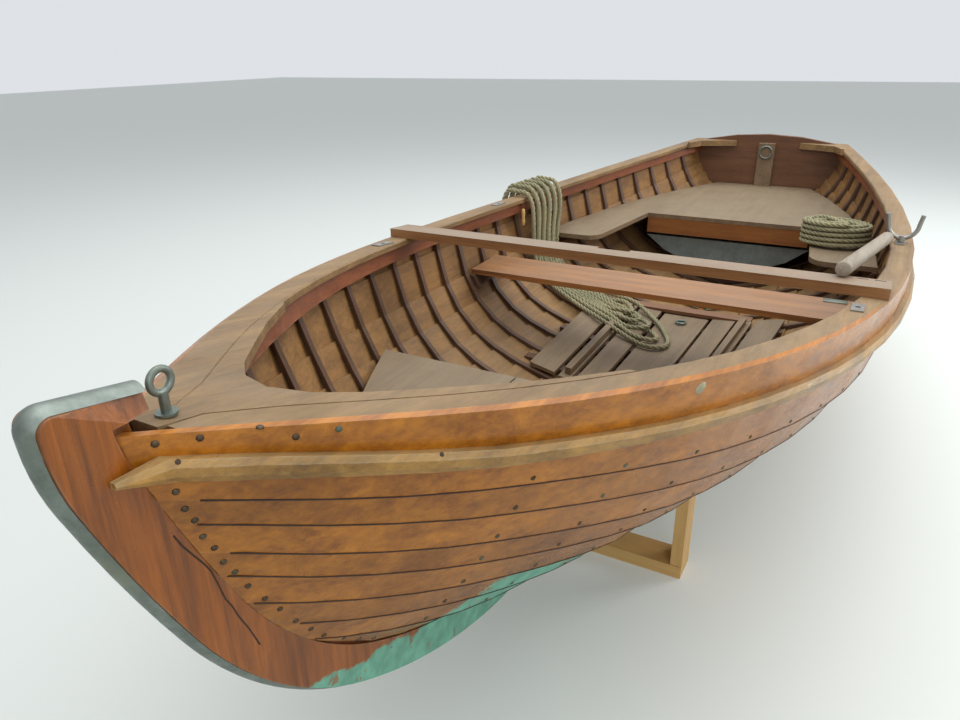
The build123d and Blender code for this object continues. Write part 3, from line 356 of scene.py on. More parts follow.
hank = [first_end] + lane_points(0) + [(x, y, rest_height(y)) for x, y in big_loop]
hank += lane_points(LANES - 1)[::-1]
for turn in rounds:
    crossed = turn is not rounds[0]         # the first loop lies flat, the later ones on top of it
    hank += bight(turn) + lane_points(turn.enter)
    hank += loop(turn, OVER if crossed else 0.0) + lane_points(turn.back)[::-1]
hank.append(last_end)
make_rope("rope_hank", hank, HANK_ROPE)

# %% [markdown]
# ## The coil on the seat
# A second rope lies coiled on the port arm of the stern seat. It winds up in an oval, steps inwards by a bit
# more than its thickness, winds down again and comes up a third time, so that the coil is a solid heap.

# %% Coil route
COIL_ROPE = 0.0190              # thickness of this rope
SEAT_REST = 0.6455              # height of the rope's centre where it lies on the seat
coil_x, coil_y = -0.842, 0.512  # middle of the coil
reach_x, reach_y = 0.092, 0.134             # half sizes of the outer oval
walls, layers = 3, 5            # ovals inside each other, and turns on top of each other
layer_rise, wall_step = 0.0205, 0.0215      # from a turn to the one above, and from a wall to the next in
per_turn, left_off = 14, 6      # points of a turn, and those missing from the last turn of a wall
first_angle = pi * 1.15
uneven, phase = 0.012, 2.3      # share by which the turns differ in size, and its wave from point to point
taper_height = 0.08             # the heap narrows upwards by that share too, over this height
coil = [(-1.000, 0.545, SEAT_REST), (-0.980, 0.520, SEAT_REST), (-0.945, 0.485, SEAT_REST)]
for wall in range(walls):
    for step in range(layers * per_turn - left_off):
        angle = 2 * pi * step / per_turn + first_angle
        height = step / per_turn * layer_rise
        rise = height if wall % 2 == 0 else (layers - left_off / per_turn) * layer_rise - height
        wobble = 1.0 + uneven * sin(phase * step + wall) - uneven * rise / taper_height
        coil.append((coil_x + (reach_x - wall_step * wall) * wobble * cos(angle),
                     coil_y + (reach_y - wall_step * wall) * wobble * sin(angle), SEAT_REST + rise))
make_rope("rope_coil", coil, COIL_ROPE)

# %% [markdown]
# ## Finishes
# The effects that many materials share are node groups: grain that runs along a board, dust that settles on
# what faces up, and wear on edges. Each is built once, with named inputs, and used with different values. The
# shader itself stays in each material.

# %% Wood grain group
def make_grain():
    """Streaks and fibres: noise on coordinates that the caller has stretched along the board."""
    group = new_group("wood_grain", [("Vector", "v", None), ("Light", "c", tone((0.5, 0.3, 0.1))),
                                     ("Dark", "c", tone((0.2, 0.1, 0.05))), ("Contrast", "f", 0.5)],
                      [("Color", "c"), ("Height", "f")])
    t = Tree(group)
    source = group.nodes.new("NodeGroupInput")
    vector, light, dark, contrast = source.outputs[:4]
    bend = t.noise(vector, 0.7, 2.0)
    bent = t.add("VectorMath", settings={"operation": "ADD"}, i0=vector,
                 i1=t.add("VectorMath", settings={"operation": "SCALE"}, i0=bend, Scale=0.6))
    broad = t.span(t.noise(bent, 1.1, 5.0), 0.38, 0.62)
    fibre = t.span(t.noise(bent, 4.6, 6.0, 0.72), 0.38, 0.64)
    mixed = t.math("ADD", t.math("MULTIPLY", broad, 0.5), t.math("MULTIPLY", fibre, 0.5))
    share = t.math("MULTIPLY", mixed, contrast)
    sink = group.nodes.new("NodeGroupOutput")
    t.set(sink, 0, t.mix(share, light, dark))
    t.set(sink, 1, t.math("SUBTRACT", 1.0, fibre))
    return group


grain_group = make_grain()


# %% Dust and stain group
def make_dust():
    """Dust where a surface faces up, and dark stains in patches."""
    group = new_group("dust_and_stain", [("Vector", "v", None), ("Color", "c", tone((0.4, 0.3, 0.2))),
                                         ("Dust", "c", tone((0.4, 0.35, 0.28))), ("Amount", "f", 0.5),
                                         ("Stain", "f", 0.4), ("Size", "f", 6.0)],
                      [("Color", "c"), ("Mask", "f")])
    t = Tree(group)
    source = group.nodes.new("NodeGroupInput")
    vector, color, dust, amount, stain, size = source.outputs[:6]
    normal = t.add("NewGeometry", out="Normal")
    facing = t.span(t.add("SeparateXYZ", out="Z", Vector=normal), 0.1, 0.9)
    patches = t.span(t.noise(vector, size, 6.0, 0.65), 0.35, 0.65)
    mask = t.math("MULTIPLY", t.math("MULTIPLY", facing, amount), t.span(patches, 0.0, 1.0, 0.55, 1.0))
    blotch = t.span(t.noise(vector, t.math("MULTIPLY", size, 0.37), 5.0, 0.6), 0.52, 0.72)
    stained = t.mix(t.math("MULTIPLY", blotch, stain), color, tone((0.30, 0.26, 0.22)), "MULTIPLY")
    sink = group.nodes.new("NodeGroupOutput")
    t.set(sink, 0, t.mix(mask, stained, dust))
    t.set(sink, 1, mask)
    return group


dust_group = make_dust()


# %% Edge wear group
def make_edges():
    """Where a rounded copy of the surface would face another way than the surface does, there is an edge."""
    group = new_group("edge_wear", [("Vector", "v", None), ("Color", "c", tone((0.4, 0.3, 0.2))),
                                    ("Bare", "c", tone((0.5, 0.4, 0.3))), ("Amount", "f", 0.6)],
                      [("Color", "c"), ("Mask", "f")])
    t = Tree(group)
    source = group.nodes.new("NodeGroupInput")
    vector, color, bare, amount = source.outputs[:4]
    rounded = t.add("Bevel", settings={"samples": 4}, Radius=0.004)
    flat = t.add("NewGeometry", out="Normal")
    same = t.add("VectorMath", out="Value", settings={"operation": "DOT_PRODUCT"}, i0=rounded, i1=flat)
    edge = t.span(same, 0.995, 0.85)
    broken = t.span(t.noise(vector, 22.0, 5.0, 0.7), 0.40, 0.62)
    mask = t.math("MULTIPLY", t.math("MULTIPLY", edge, broken), amount)
    sink = group.nodes.new("NodeGroupOutput")
    t.set(sink, 0, t.mix(mask, color, bare))
    t.set(sink, 1, mask)
    return group


edge_group = make_edges()
print("groups:", [g.name for g in bpy.data.node_groups])

# %% [markdown]
# ## Wood
# Every board has the same recipe with other numbers: two tones of grain, how much dust lies on it, what its
# worn edges look like and how shiny it is. The recipes are rows of a table, so that two boards are easy to
# compare. The grain is stretched along the board, so the table says which way the board runs.

# %% Wood recipe
STRETCH = {"x": (1.2, 22.0, 22.0), "y": (22.0, 1.2, 22.0), "z": (22.0, 22.0, 1.2)}
GRAIN_HEIGHT = 0.001            # how far the grain stands up where a board's bump is one
# light and dark are the tones of the grain and contrast is how far it goes from one to the other; dust and
# amount are the colour and share of the dust, bare and edge those of the worn edges.
Wood = namedtuple("Wood", "light dark run contrast dust amount stain bare edge rough bump")


def use_group(t, group, **inputs):
    """A node that stands for a group, with its inputs set; all its outputs."""
    node = t.tree.nodes.new("ShaderNodeGroup")
    node.node_tree = group
    for key, value in inputs.items():
        t.set(node, key, value)
    return node.outputs


def wood_color(t, w, place):
    """The colour, shine and height of a board, from its row of the table."""
    stretched = t.add("Mapping", Vector=place, Scale=STRETCH[w.run])
    grain = use_group(t, grain_group, Vector=stretched, Light=tone(w.light), Dark=tone(w.dark),
                      Contrast=w.contrast)
    dusty = use_group(t, dust_group, Vector=place, Color=grain[0], Dust=tone(w.dust), Amount=w.amount,
                      Stain=w.stain)
    worn = use_group(t, edge_group, Vector=place, Color=dusty[0], Bare=tone(w.bare), Amount=w.edge)
    mottled = t.span(t.noise(place, 9.0, 5.0), 0.3, 0.7, w.rough - 0.08, w.rough + 0.12)
    rough = t.math("MAXIMUM", mottled, t.math("MULTIPLY", t.math("MAXIMUM", dusty[1], worn[1]), 0.8))
    return worn[0], rough, grain[1]


def wood_material(name, w):
    """A board with the finish of its row."""
    material, t, shader = principled(name)
    color, rough, height = wood_color(t, w, t.add("TexCoord", out="Object"))
    t.set(shader, "Base Color", color)
    t.set(shader, "Roughness", rough)
    t.set(shader, "Normal", t.add("Bump", Height=height, Strength=w.bump, Distance=GRAIN_HEIGHT))
    return material


DUST = (0.36, 0.30, 0.22)
BARE = (0.42, 0.33, 0.22)
pine = Wood((0.72, 0.46, 0.17), (0.50, 0.26, 0.08), "y", 0.6, DUST, 0.05, 0.1,
            (0.75, 0.52, 0.25), 0.2, 0.5, 0.3)
woods = {
    "gunwale": Wood((0.36, 0.215, 0.085), (0.145, 0.083, 0.034), "x", 0.9, (0.29, 0.225, 0.14), 0.35, 0.6,
                    (0.36, 0.27, 0.16), 0.5, 0.60, 0.6),
    "rub": Wood((0.54, 0.285, 0.055), (0.20, 0.095, 0.018), "x", 0.95, (0.38, 0.32, 0.19), 0.45, 0.7,
                (0.42, 0.36, 0.22), 0.9, 0.33, 0.6),
    "frames": Wood((0.125, 0.060, 0.034), (0.050, 0.025, 0.016), "z", 0.8, (0.22, 0.16, 0.10), 0.25, 0.3,
                   BARE, 0.2, 0.40, 0.3),
    "inwale": Wood((0.30, 0.085, 0.024), (0.12, 0.032, 0.012), "x", 0.8, DUST, 0.15, 0.4,
                   BARE, 0.3, 0.38, 0.3),
    "transom": Wood((0.19, 0.082, 0.036), (0.085, 0.036, 0.018), "y", 0.8, (0.24, 0.17, 0.10), 0.2, 0.6,
                    BARE, 0.3, 0.42, 0.3),
    "beam": Wood((0.36, 0.165, 0.055), (0.15, 0.06, 0.022), "y", 0.85, (0.32, 0.27, 0.20), 0.85, 0.3,
                 BARE, 0.5, 0.45, 0.45),
    "thwart": Wood((0.47, 0.200, 0.056), (0.16, 0.060, 0.024), "y", 0.85, (0.34, 0.22, 0.13), 0.5, 0.3,
                   BARE, 0.4, 0.40, 0.45),
    "seats": Wood((0.25, 0.165, 0.090), (0.12, 0.078, 0.042), "x", 0.8, (0.28, 0.225, 0.145), 0.65, 0.4,
                  BARE, 0.3, 0.6, 0.45),
    "fascia": Wood((0.34, 0.13, 0.035), (0.17, 0.055, 0.02), "y", 0.7, DUST, 0.2, 0.4,
                   BARE, 0.3, 0.36, 0.3),
    "floor": Wood((0.26, 0.17, 0.090), (0.105, 0.068, 0.038), "x", 0.9, (0.27, 0.215, 0.14), 0.5, 0.5,
                  BARE, 0.4, 0.56, 0.55),
    "floor_cross": Wood((0.30, 0.125, 0.055), (0.13, 0.055, 0.028), "y", 0.8, (0.30, 0.21, 0.13), 0.35, 0.4,
                        BARE, 0.4, 0.5, 0.45),
    "pine": pine,
    "pine_post": pine._replace(run="z"),
}
finishes = {name: wood_material(name, w) for name, w in woods.items()}
print("woods:", len(finishes))

# %% [markdown]
# ## Planking
# A plank is varnished outside and dull and dusty inside, yet it is one solid. The two sides are told apart by
# which way the surface faces: outside, the normal points away from a line that runs along the middle of the
# boat at gunwale height. Low down, old green bottom paint still clings to the wood.

# %% Planking recipe
outside = Wood((0.55, 0.200, 0.012), (0.20, 0.058, 0.004), "x", 0.9, DUST, 0.0, 0.6,
               (0.50, 0.30, 0.12), 0.35, 0.24, 0.25)
inside = Wood((0.37, 0.185, 0.055), (0.13, 0.060, 0.021), "x", 0.85, (0.31, 0.23, 0.12), 0.45, 0.5,
              BARE, 0.2, 0.55, 0.3)
backbone = Wood((0.43, 0.120, 0.007), (0.11, 0.030, 0.003), "z", 0.95, DUST, 0.2, 0.6,
                BARE, 0.3, 0.30, 0.4)
AXIS_HEIGHT = 1.0               # height of the line that tells outside from inside
PAINT = (0.13, 0.34, 0.24)
PAINT_ROUGH = 0.6
PAINT_TOP = 0.275               # height of the top of the paint along the boat
FOREFOOT = (1.788, 0.022, 0.454)            # a point on the top of the paint at the stem, where it climbs
CLIMB_AHEAD, CLIMB_OUT = 0.448, 1.04        # its rise per metre ahead, and per metre out from the middle
CLIMB_REACH = 0.20                          # it rises no more outwards beyond this distance
RAGGED = 0.07                   # range in height over which noise moves the top of the paint


def paint_mask(t, place):
    """One where old paint is left: below a level line, and on the forefoot below one that climbs ahead and up
    the planks. Both lines are made ragged by noise."""
    x, y, z = (t.add("SeparateXYZ", out=axis, Vector=place) for axis in "XYZ")
    side = t.math("MINIMUM", t.math("ABSOLUTE", y), CLIMB_REACH)
    level = FOREFOOT[2] - CLIMB_AHEAD * FOREFOOT[0] - CLIMB_OUT * FOREFOOT[1]
    climb = t.math("MULTIPLY_ADD", side, CLIMB_OUT, t.math("MULTIPLY_ADD", x, CLIMB_AHEAD, level))
    top = t.math("MAXIMUM", climb, PAINT_TOP)
    ragged = t.math("MULTIPLY_ADD", t.math("SUBTRACT", t.noise(place, 9.0, 6.0, 0.7), 0.5), RAGGED, z)
    below = t.span(t.math("SUBTRACT", top, ragged), -0.003, 0.003)
    flaked = t.span(t.noise(place, 26.0, 6.0, 0.7), 0.60, 0.64, 1.0, 0.25)
    return t.math("MULTIPLY", below, flaked)


def lay_paint(t, shader, place, painted, color, rough):
    """Chalky paint in two tones over the colour where the mask says, and duller there than varnish is."""
    patches = t.span(t.noise(place, 30.0, 5.0), 0.35, 0.65)
    chalky = t.mix(patches, tone(PAINT), tone([c * 1.5 for c in PAINT]))
    t.set(shader, "Base Color", t.mix(painted, color, chalky))
    t.set(shader, "Roughness", t.math("MAXIMUM", rough, t.math("MULTIPLY", painted, PAINT_ROUGH)))


def planking_material(name, shade):
    """Varnish outside, its tones times the plank's shade, dust inside, and paint below a ragged line."""
    material, t, shader = principled(name)
    place = t.add("TexCoord", out="Object")
    light, dark = ([c * shade for c in rgb] for rgb in (outside.light, outside.dark))
    out_color, out_rough, height = wood_color(t, outside._replace(light=light, dark=dark), place)
    in_color, in_rough, _ = wood_color(t, inside, place)
    middle = t.add("VectorMath", settings={"operation": "MULTIPLY"}, i0=place, i1=(0.0, 1.0, 1.0))
    away = t.add("VectorMath", settings={"operation": "SUBTRACT"}, i0=middle, i1=(0.0, 0.0, AXIS_HEIGHT))
    facing = t.add("VectorMath", out="Value", settings={"operation": "DOT_PRODUCT"}, i0=away,
                   i1=t.add("NewGeometry", out="Normal"))
    outer = t.span(facing, -0.02, 0.02)
    painted = t.math("MULTIPLY", paint_mask(t, place), outer)
    rough = t.add("Mix", settings={"data_type": "FLOAT"}, i0=outer, i2=in_rough, i3=out_rough)
    lay_paint(t, shader, place, painted, t.mix(outer, in_color, out_color), rough)
    t.set(shader, "Normal", t.add("Bump", Height=height, Strength=outside.bump, Distance=GRAIN_HEIGHT))
    for key, value in (("Coat Weight", 0.12), ("Coat Roughness", 0.18), ("Specular IOR Level", 0.4)):
        t.set(shader, key, value)
    return material


def backbone_material(name):
    """The stem and keel: varnished wood with the same paint low down."""
    material, t, shader = principled(name)
    place = t.add("TexCoord", out="Object")
    color, rough, height = wood_color(t, backbone, place)
    lay_paint(t, shader, place, paint_mask(t, place), color, rough)
    t.set(shader, "Normal", t.add("Bump", Height=height, Strength=backbone.bump, Distance=GRAIN_HEIGHT))
    return material


finishes["painted_backbone"] = backbone_material("painted_backbone")
shades = [0.80, 0.86, 0.78, 0.94, 0.84, 0.98, 0.88, 1.0, 1.12]      # garboard first, sheer strake last
for k, shade in enumerate(shades, start=1):
    finishes[f"planking_{k}"] = planking_material(f"planking_{k}", shade)
print("planking:", len(shades), "shades")

# %% [markdown]
# ## Metal
# The stem band, eye bolt and tank are galvanised: a soft grey with darker and greener patches, not a mirror.

# %% Metal recipe
def metal_material(name, light, dark, rough, stain=(0.20, 0.22, 0.15)):
    """Two mottled tones and patches of stain, which are less metallic than the rest."""
    material, t, shader = principled(name)
    place = t.add("TexCoord", out="Object")
    mottled = t.mix(t.span(t.noise(place, 24.0, 6.0, 0.7), 0.3, 0.7), tone(light), tone(dark))
    patch = t.span(t.noise(place, 7.0, 5.0, 0.6), 0.5, 0.68)
    t.set(shader, "Base Color", t.mix(t.math("MULTIPLY", patch, 0.7), mottled, tone(stain)))
    t.set(shader, "Roughness", t.span(t.noise(place, 40.0, 4.0), 0.3, 0.7, rough - 0.08, rough + 0.15))
    t.set(shader, "Metallic", t.span(patch, 0.0, 1.0, 0.85, 0.3))
    t.set(shader, "Normal", t.add("Bump", Height=t.noise(place, 90.0, 5.0), Strength=0.25, Distance=0.0008))
    return material


metals = {
    "galvanised": ((0.27, 0.31, 0.28), (0.12, 0.145, 0.12), 0.45),
    "tank": ((0.34, 0.40, 0.41), (0.19, 0.24, 0.25), 0.55, (0.18, 0.22, 0.21)),
    "bronze": ((0.42, 0.41, 0.38), (0.25, 0.24, 0.21), 0.38),
    "copper": ((0.14, 0.10, 0.06), (0.06, 0.045, 0.03), 0.45, (0.12, 0.20, 0.14)),
}
finishes.update({name: metal_material(name, *recipe) for name, recipe in metals.items()})
print("metals:", len(metals))

# %% Dress the solids
by_node = {
    "keel": "painted_backbone", "stem": "painted_backbone", "deadwood": "painted_backbone",
    "stem_band": "galvanised", "transom": "transom", "ribs": "frames", "inwales": "inwale",
    "gunwale_caps": "gunwale", "rubbing_strakes": "rub", "breasthook": "gunwale", "quarter_knees": "gunwale",
    "transom_post": "seats", "transom_ring": "galvanised", "eye_bolt": "galvanised", "cross_beam": "beam",
    "thwart": "thwart", "bow_seat": "seats", "bow_seat_bearers": "frames", "stern_seat": "seats",
    "seat_risers": "frames", "seat_fascia": "fascia", "stern_tank": "tank", "tank_bearers": "frames",
    "bottom_boards": "floor", "bottom_rails": "floor", "board_bearers": "frames",
    "cross_floorboard": "floor_cross", "lifting_ring": "galvanised", "rowlock_sockets": "bronze",
    "rowlock": "bronze", "cradle_bases": "pine", "cradle_posts": "pine_post", "keel_blocks": "pine_post",
    **{name: name.replace("strake", "planking") for name in strakes},
}
for node, finish in by_node.items():
    for material_slot in nodes[node].material_slots:
        material_slot.material = finishes[finish]
print("dressed:", len(by_node), "of", len(nodes))


# %% [markdown]
# ## Finding a place on the boat
# A small piece must sit on the wood that carries it. Rays find that place: from the camera through a point
# of the picture, or square from outside the hull. Rivets and nail holes are mirrored to the other side.

# %% Rays
def ray_tree(names):
    """One search tree over the meshes of some nodes, and the node of each face."""
    points, faces, owner = [], [], []
    for name in names:
        start = len(points)
        points += [v.co.copy() for v in nodes[name].data.vertices]
        faces += [[start + i for i in polygon.vertices] for polygon in nodes[name].data.polygons]
        owner += [name] * len(nodes[name].data.polygons)
    return BVHTree.FromPolygons(points, faces), owner


boat_tree, _ = ray_tree([name for name in nodes if not name.startswith("cradle")])
strake_tree, strake_owner = ray_tree(strakes)


def through(u, v):
    """The first place on the boat that the camera sees at a point of the picture, and the normal there."""
    rightwards, downwards = (u - picture_wide / 2) / focal_px, (v - picture_high / 2) / focal_px
    way = (look + right * rightwards - up * downwards).normalized()
    place, normal, _, _ = boat_tree.ray_cast(eye, way)
    return np.array(place), np.array(normal)


def domes(places, normals, radius, height, around=7):
    """Flat domes: a rim just under the surface, a smaller ring above it and a top point, at each place."""
    points, faces = [], []
    for place, normal in zip(places, normals):
        normal = unit(normal)
        side = unit(np.cross(normal, (0.31, 0.17, 0.94)))
        rim = circle(side, np.cross(normal, side), around)
        start = len(points)
        for reach, lift in ((1.0, -0.3), (0.75, 0.65)):
            points += list(place + radius * reach * rim + normal * height * lift)
        points.append(place + normal * height)
        for k in range(around):
            n = (k + 1) % around
            faces += [[start + k, start + n, start + around + n, start + around + k],
                      [start + around + k, start + around + n, start + 2 * around]]
        faces.append([start + k for k in range(around - 1, -1, -1)])
    return points, faces


def both(places, normals):
    """The same places on both sides of the boat."""
    flip = np.array((1.0, -1.0, 1.0))
    return list(places) + [p * flip for p in places], list(normals) + [n * flip for n in normals]


def wire(line, radius, around=6):
    """A thin tube along a line: at each point a ring square to the line."""
    line = np.asarray(line, dtype=float)
    shell = line[:, None] + radius * circle(*carried_frames(line), around)
    return shell.reshape(-1, 3), tube_faces(len(line), around)


# %% [markdown]
# ## Laps and rivets
# In a clinker hull each plank laps over the one below it, and copper rivets hold the lap at every rib. Dirt
# and old varnish gather in the corner under each lap, and shade falls there under the plank's edge. A thin
# dark line along each lap is painted shade and dirt together, and it shows the planks. To find the laps, rays
# run in towards
# the middle of the boat, lower and lower: where one plank ends and the next begins, there is a lap. The bow is
# steep, so there the rays are level and start lower and lower.

# %% Laps
AIM, FAR_OUT = 0.90, 1.6        # rays aim at the middle of the boat at this height, from so far out
STEEP_BOW = 1.4                 # ahead of this station they are level
BOW_TOP, BOW_DROP = 1.05, 0.45  # where those start, and how far down one unit of the sweep brings them
FACES_OUT = 0.1                 # a surface that faces out less than this is the edge of a plank
HALVINGS = 5
LAP_LINE_RADIUS = 0.0014
sweep = np.linspace(0.03, 1.50, 150)        # angles below level
stations = np.linspace(-2.19, 2.08, 130)
Hit = namedtuple("Hit", "plank place normal angle")


def plank_seen(x, angle):
    """The plank that a ray meets at a station and an angle below level, with the place and the normal."""
    if x > STEEP_BOW:
        way = Vector((0.0, -1.0, 0.0))
        start = Vector((x, 1.0, BOW_TOP - BOW_DROP * angle))
    else:
        way = Vector((0.0, -cos(angle), sin(angle)))
        start = Vector((x, 0.0, AIM)) - way * FAR_OUT
    place, normal, face, _ = strake_tree.ray_cast(start, way)
    if place is None or normal.y < FACES_OUT:
        return None
    return Hit(int(strake_owner[face][-1]), np.array(place), np.array(normal), angle)


def laps_at(x):
    """For the port side at a station: the last hit on each plank that laps over another. The angle between
    it and the first hit on the plank below is halved until they are less than half a millimetre apart."""
    seen = [hit for hit in (plank_seen(x, angle) for angle in sweep) if hit]
    found = {}
    for upper, lower in zip(seen, seen[1:]):
        if lower.plank != upper.plank - 1:
            continue
        low = lower.angle
        for _ in range(HALVINGS):
            middle = plank_seen(x, 0.5 * (upper.angle + low))
            if middle and middle.plank == upper.plank:
                upper = middle
            else:
                low = 0.5 * (upper.angle + low)
        found[upper.plank] = upper
    return found


laps = [laps_at(float(x)) for x in stations]
# Painted shade and dirt: a thin dark wire along the lower edge of each plank that laps over another, on both
# sides.
lap_line_points, lap_line_faces = [], []
for k in range(2, len(strakes) + 1):
    line = np.array([at[k].place for at in laps if k in at])
    for side in (1.0, -1.0):
        points, faces = wire(line * (1.0, side, 1.0), LAP_LINE_RADIUS, 5)
        lap_line_faces += [[i + len(lap_line_points) for i in face] for face in faces]
        lap_line_points += list(points)
print("laps found:", sorted(laps[60]), "dirt faces:", len(lap_line_faces))

# %% Rivets
RIB_FORE, RIB_PITCH, RIBS = 1.697, 0.1687, 23       # the foremost rib, from rib to rib, number of ribs
RIVET_RADIUS, RIVET_HEIGHT = 0.0052, 0.0018
RIVET_UP = 0.012                # from the lower edge of a plank up to its rivets
OFF_PLANK = 0.04                # how far off the plank the ray starts that finds its surface
places, normals = [], []
for i in range(RIBS):
    for edge in laps_at(RIB_FORE - i * RIB_PITCH).values():
        up_plank = np.cross(edge.normal, (1.0, 0.0, 0.0))
        up_plank *= np.sign(up_plank[2]) / np.linalg.norm(up_plank)
        guess = edge.place + up_plank * RIVET_UP + edge.normal * OFF_PLANK
        place, normal, _, _ = strake_tree.ray_cast(Vector(guess), Vector(-edge.normal))
        if place is not None:
            places.append(np.array(place))
            normals.append(np.array(normal))
hood_px = [(176, 492), (185, 509), (195, 520.5), (203, 536.5), (214.5, 548), (223.5, 562), (235, 572),
           (248, 586), (265, 598.6), (280, 609), (296, 621), (311, 629), (324, 635), (344, 638), (359, 639),
           (374, 638)]          # in the picture: nails of the plank ends along the stem
sheer_px = [(155, 444), (200, 438), (260, 427), (296, 437), (339, 429)]     # and of the sheer strake
for u, v in hood_px + sheer_px:
    place, normal = through(u, v)
    places.append(place)
    normals.append(normal)
places, normals = both(places, normals)
print("rivets:", len(places))

# %% Place laps and rivets
def dark_material(name, rgb, rough):
    """Nearly one colour, with small lighter and duller specks: for putty, and for marks that are dirt and
    painted shade.
    """
    material, t, shader = principled(name)
    place = t.add("TexCoord", out="Object")
    speck = t.span(t.noise(place, 60.0, 4.0), 0.4, 0.7)
    t.set(shader, "Base Color", t.mix(speck, tone(rgb), tone([c * 1.9 for c in rgb])))
    t.set(shader, "Roughness", t.span(speck, 0.0, 1.0, rough, rough + 0.15))
    return material


# One dark material for dirt and painted shade: the lap lines, the crack, the nail holes and the bolt slots are
# dark for the shade in those hollows as well as for dirt. The hook is simply dark.
dirt_and_shade = dark_material("lap_dirt_and_shade", (0.030, 0.014, 0.008), 0.6)
add_piece("lap_dirt_and_shade", lap_line_points, lap_line_faces, dirt_and_shade, "planking")
head_points, head_faces = domes(places, normals, RIVET_RADIUS, RIVET_HEIGHT)
add_piece("rivets", head_points, head_faces, finishes["copper"], "bronze")
print("faces of the heads:", len(head_faces))

# %% [markdown]
# ## Small things that lie on the boat
# A round stick leans from the beam to the gunwale, a small wooden toggle hangs by the rope, and the wood
# shows a crack, a patch of putty, two nail holes on each side and the slots of two bolts. A turned shape such
# as the stick is a profile of distances from its axis, swept around that axis.

# %% Makers of turned shapes and plates
def turned(start, end, profile, around=20):
    """A turned piece: profile rows are (share of the length, radius), swept about its axis."""
    start, end = np.array(start, dtype=float), np.array(end, dtype=float)
    axis = unit(end - start)
    side = unit(np.cross(axis, (0.2, 0.9, 0.35)))
    shares, radii = np.array(profile).T
    hearts = start + (end - start) * shares[:, None]
    shell = hearts[:, None] + radii[:, None, None] * circle(side, np.cross(axis, side), around)
    return shell.reshape(-1, 3), tube_faces(len(profile), around)


def plate(middle, size, broken=0.0008):
    """A small plate with its top edges broken: a wide foot, a wide waist and a narrower top."""
    (x, y, z), (a, b, c) = middle, (v / 2 for v in size)
    rows = [(-c, 0.0), (c * 0.4, 0.0), (c, broken)]
    points = [(x + sx * (a - inset), y + sy * (b - inset), z + h)
              for h, inset in rows for sx, sy in ((-1, -1), (1, -1), (1, 1), (-1, 1))]
    return points, tube_faces(len(rows), 4)


# %% Stick, toggle and plates
weathered = wood_material("weathered_stick", Wood((0.42, 0.36, 0.28), (0.22, 0.18, 0.13), "x", 0.9, DUST,
                                                  0.2, 0.5, BARE, 0.2, 0.6, 0.5))
stick_ends = (0.572, 0.608, 0.9105), (-0.080, 0.6965, 0.8545)       # on the beam and on the gunwale
stick_profile = [(0, 0.0165), (0.004, 0.0188), (0.012, 0.0195), (0.3, 0.0198), (0.6, 0.0193), (0.99, 0.0195),
                 (0.997, 0.0186), (1, 0.0165)]
toggle_ends = (-0.292, -0.690, 0.786), (-0.292, -0.690, 0.712)
toggle_profile = [(0, 0.003), (0.06, 0.0065), (0.3, 0.0085), (0.5, 0.006), (0.7, 0.0085), (0.94, 0.0065),
                  (1, 0.003)]
hook_line = [(-0.292, -0.7045, 0.802), (-0.292, -0.697, 0.803), (-0.292, -0.691, 0.798),
             (-0.292, -0.690, 0.784)]
HOOK_RADIUS = 0.0018
bracket_at, bracket_size = (-0.050, 0.585, 0.6335), (0.034, 0.075, 0.003)
slot_x, slot_z, slot_size = 0.553, 0.8868, (0.007, 0.026, 0.0018)
add_piece("stick", *turned(*stick_ends, stick_profile), weathered, "seats")
add_piece("toggle", *turned(*toggle_ends, toggle_profile, 12), finishes["pine_post"], "pine")
add_piece("toggle_hook", *wire(hook_line, HOOK_RADIUS), dirt_and_shade, "galvanised")
add_piece("thwart_bracket", *plate(bracket_at, bracket_size), finishes["galvanised"], "galvanised")
# Painted shade and dirt: dark plates stand for the shaded slots in the two bolt heads.
for name, y in (("beam_bolt_slots", 0.695), ("beam_bolt_slots_2", 0.655)):
    add_piece(name, *plate((slot_x, y, slot_z), slot_size), dirt_and_shade, "bronze")
print("stick, toggle and plates done")

# %% Marks in the wood
putty = dark_material("putty", (0.34, 0.32, 0.21), 0.7)
crack_px = [(173.5, 536), (182, 546), (191, 553.5), (204, 564), (211, 571), (217, 582), (225.5, 599),
            (232, 606), (238.5, 616), (249.4, 629), (260, 644.5)]         # in the picture, along the stem
patch_px, hole_px = (701, 388), [(178, 462), (442, 454.5)]
CRACK_RADIUS = 0.0012
PATCH_RADIUS, PATCH_HEIGHT = 0.0125, 0.0008
HOLE_RADIUS, HOLE_HEIGHT = 0.0036, 0.0006
crack = [through(u, v)[0] for u, v in crack_px]
patch, patch_normal = through(*patch_px)
holes, hole_normals = both(*zip(*[through(u, v) for u, v in hole_px]))
# Painted shade and dirt: a dark wire stands for the shade and dirt in the crack along the stem.
add_piece("stem_crack", *wire(crack, CRACK_RADIUS, 5), dirt_and_shade, "backbone")
add_piece("putty_patch", *domes([patch], [patch_normal], PATCH_RADIUS, PATCH_HEIGHT, 16), putty, "planking")
# Painted shade and dirt: dark domes stand for the shade and dirt in the nail holes.
add_piece("nail_holes", *domes(holes, hole_normals, HOLE_RADIUS, HOLE_HEIGHT), dirt_and_shade, "planking")
print("marks done:", len(crack), "points of the crack,", len(holes), "nail holes")

# %% [markdown]
# ## Floor and light
# The boat stands on a plain pale floor that runs far back, under large soft lamps. Big lamps give the long
# soft highlights that varnish shows in a room with windows.

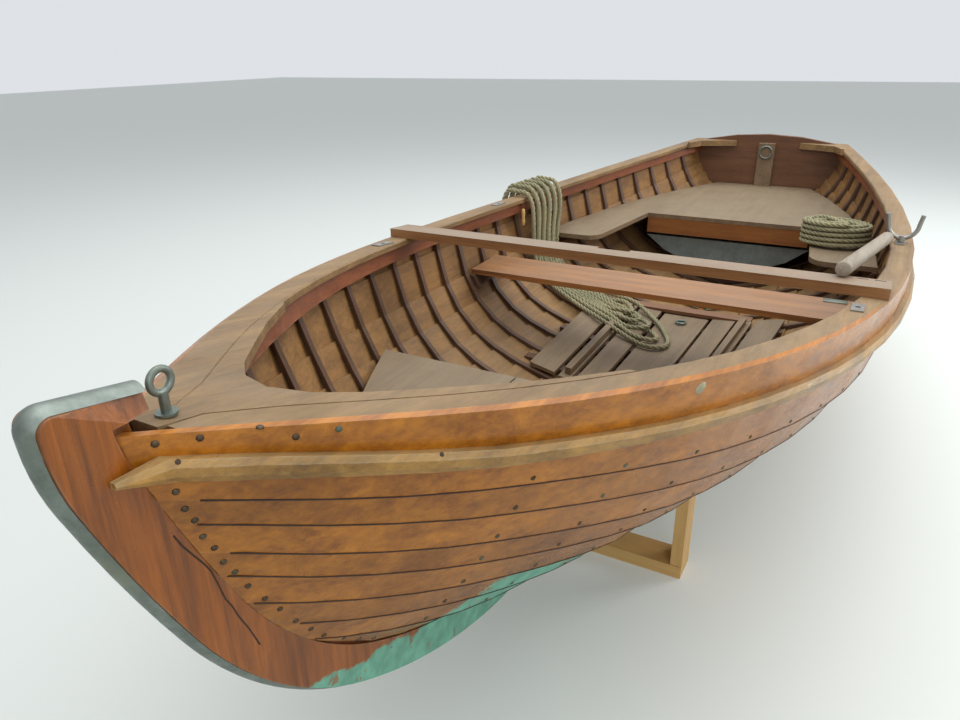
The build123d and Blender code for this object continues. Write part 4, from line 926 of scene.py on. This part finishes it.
# %% Floor
FLOOR_TONE, FLOOR_ROUGH = (0.66, 0.70, 0.67), 0.55
FLOOR_GLOW = 0.18               # its own light, which only the camera sees
far = 30.0                      # from the middle to the edge of the floor
floor_mesh = bpy.data.meshes.new("floor")
floor_mesh.from_pydata([(-far, -far, 0), (far, -far, 0), (far, far, 0), (-far, far, 0)], [], [(0, 1, 2, 3)])
floor = bpy.data.objects.new("floor", floor_mesh)
bpy.context.collection.objects.link(floor)
floor_material, t, shader = principled("studio_floor")
glow = t.math("MULTIPLY", t.add("LightPath", out="Is Camera Ray"), FLOOR_GLOW)
for key, value in (("Base Color", tone(FLOOR_TONE)), ("Roughness", FLOOR_ROUGH),
                   ("Emission Color", tone(FLOOR_TONE)), ("Emission Strength", glow)):
    t.set(shader, key, value)
floor_mesh.materials.append(floor_material)

# %% Lights
ROOM_LIGHT, BACKDROP = 0.42, 0.80           # strength of the room as light, and as the camera sees it
Lamp = namedtuple("Lamp", "name at aim power size")
lamps = [
    Lamp("overhead", (-0.8, 0.3, 5.6), (-0.4, 0.0, 0.3), 380.0, 8.0),
    Lamp("window", (-3.5, 4.2, 3.0), (0.0, 0.2, 0.5), 120.0, 2.2),
    Lamp("room", (5.6, 3.8, 3.4), (0.8, 0.2, 0.5), 80.0, 3.0),
]
for lamp in lamps:
    data = bpy.data.lights.new(lamp.name, "AREA")
    data.energy, data.size = lamp.power, lamp.size
    light = bpy.data.objects.new(lamp.name, data)
    light.location = lamp.at
    light.rotation_euler = (Vector(lamp.at) - Vector(lamp.aim)).to_track_quat("Z", "Y").to_euler()
    bpy.context.collection.objects.link(light)
world = bpy.data.worlds.new("room_light")
bpy.context.scene.world = world
world.use_nodes = True
background = world.node_tree.nodes["Background"]
t = Tree(world.node_tree)
seen = t.math("MAXIMUM", t.add("LightPath", out="Is Camera Ray"), t.add("LightPath", out="Is Glossy Ray"))
t.set(background, "Color", tone((0.92, 0.95, 1.0)))
t.set(background, "Strength", t.span(seen, 0.0, 1.0, ROOM_LIGHT, BACKDROP))
bpy.context.scene.view_settings.view_transform = "Standard"
print("lamps:", [lamp.name for lamp in lamps])
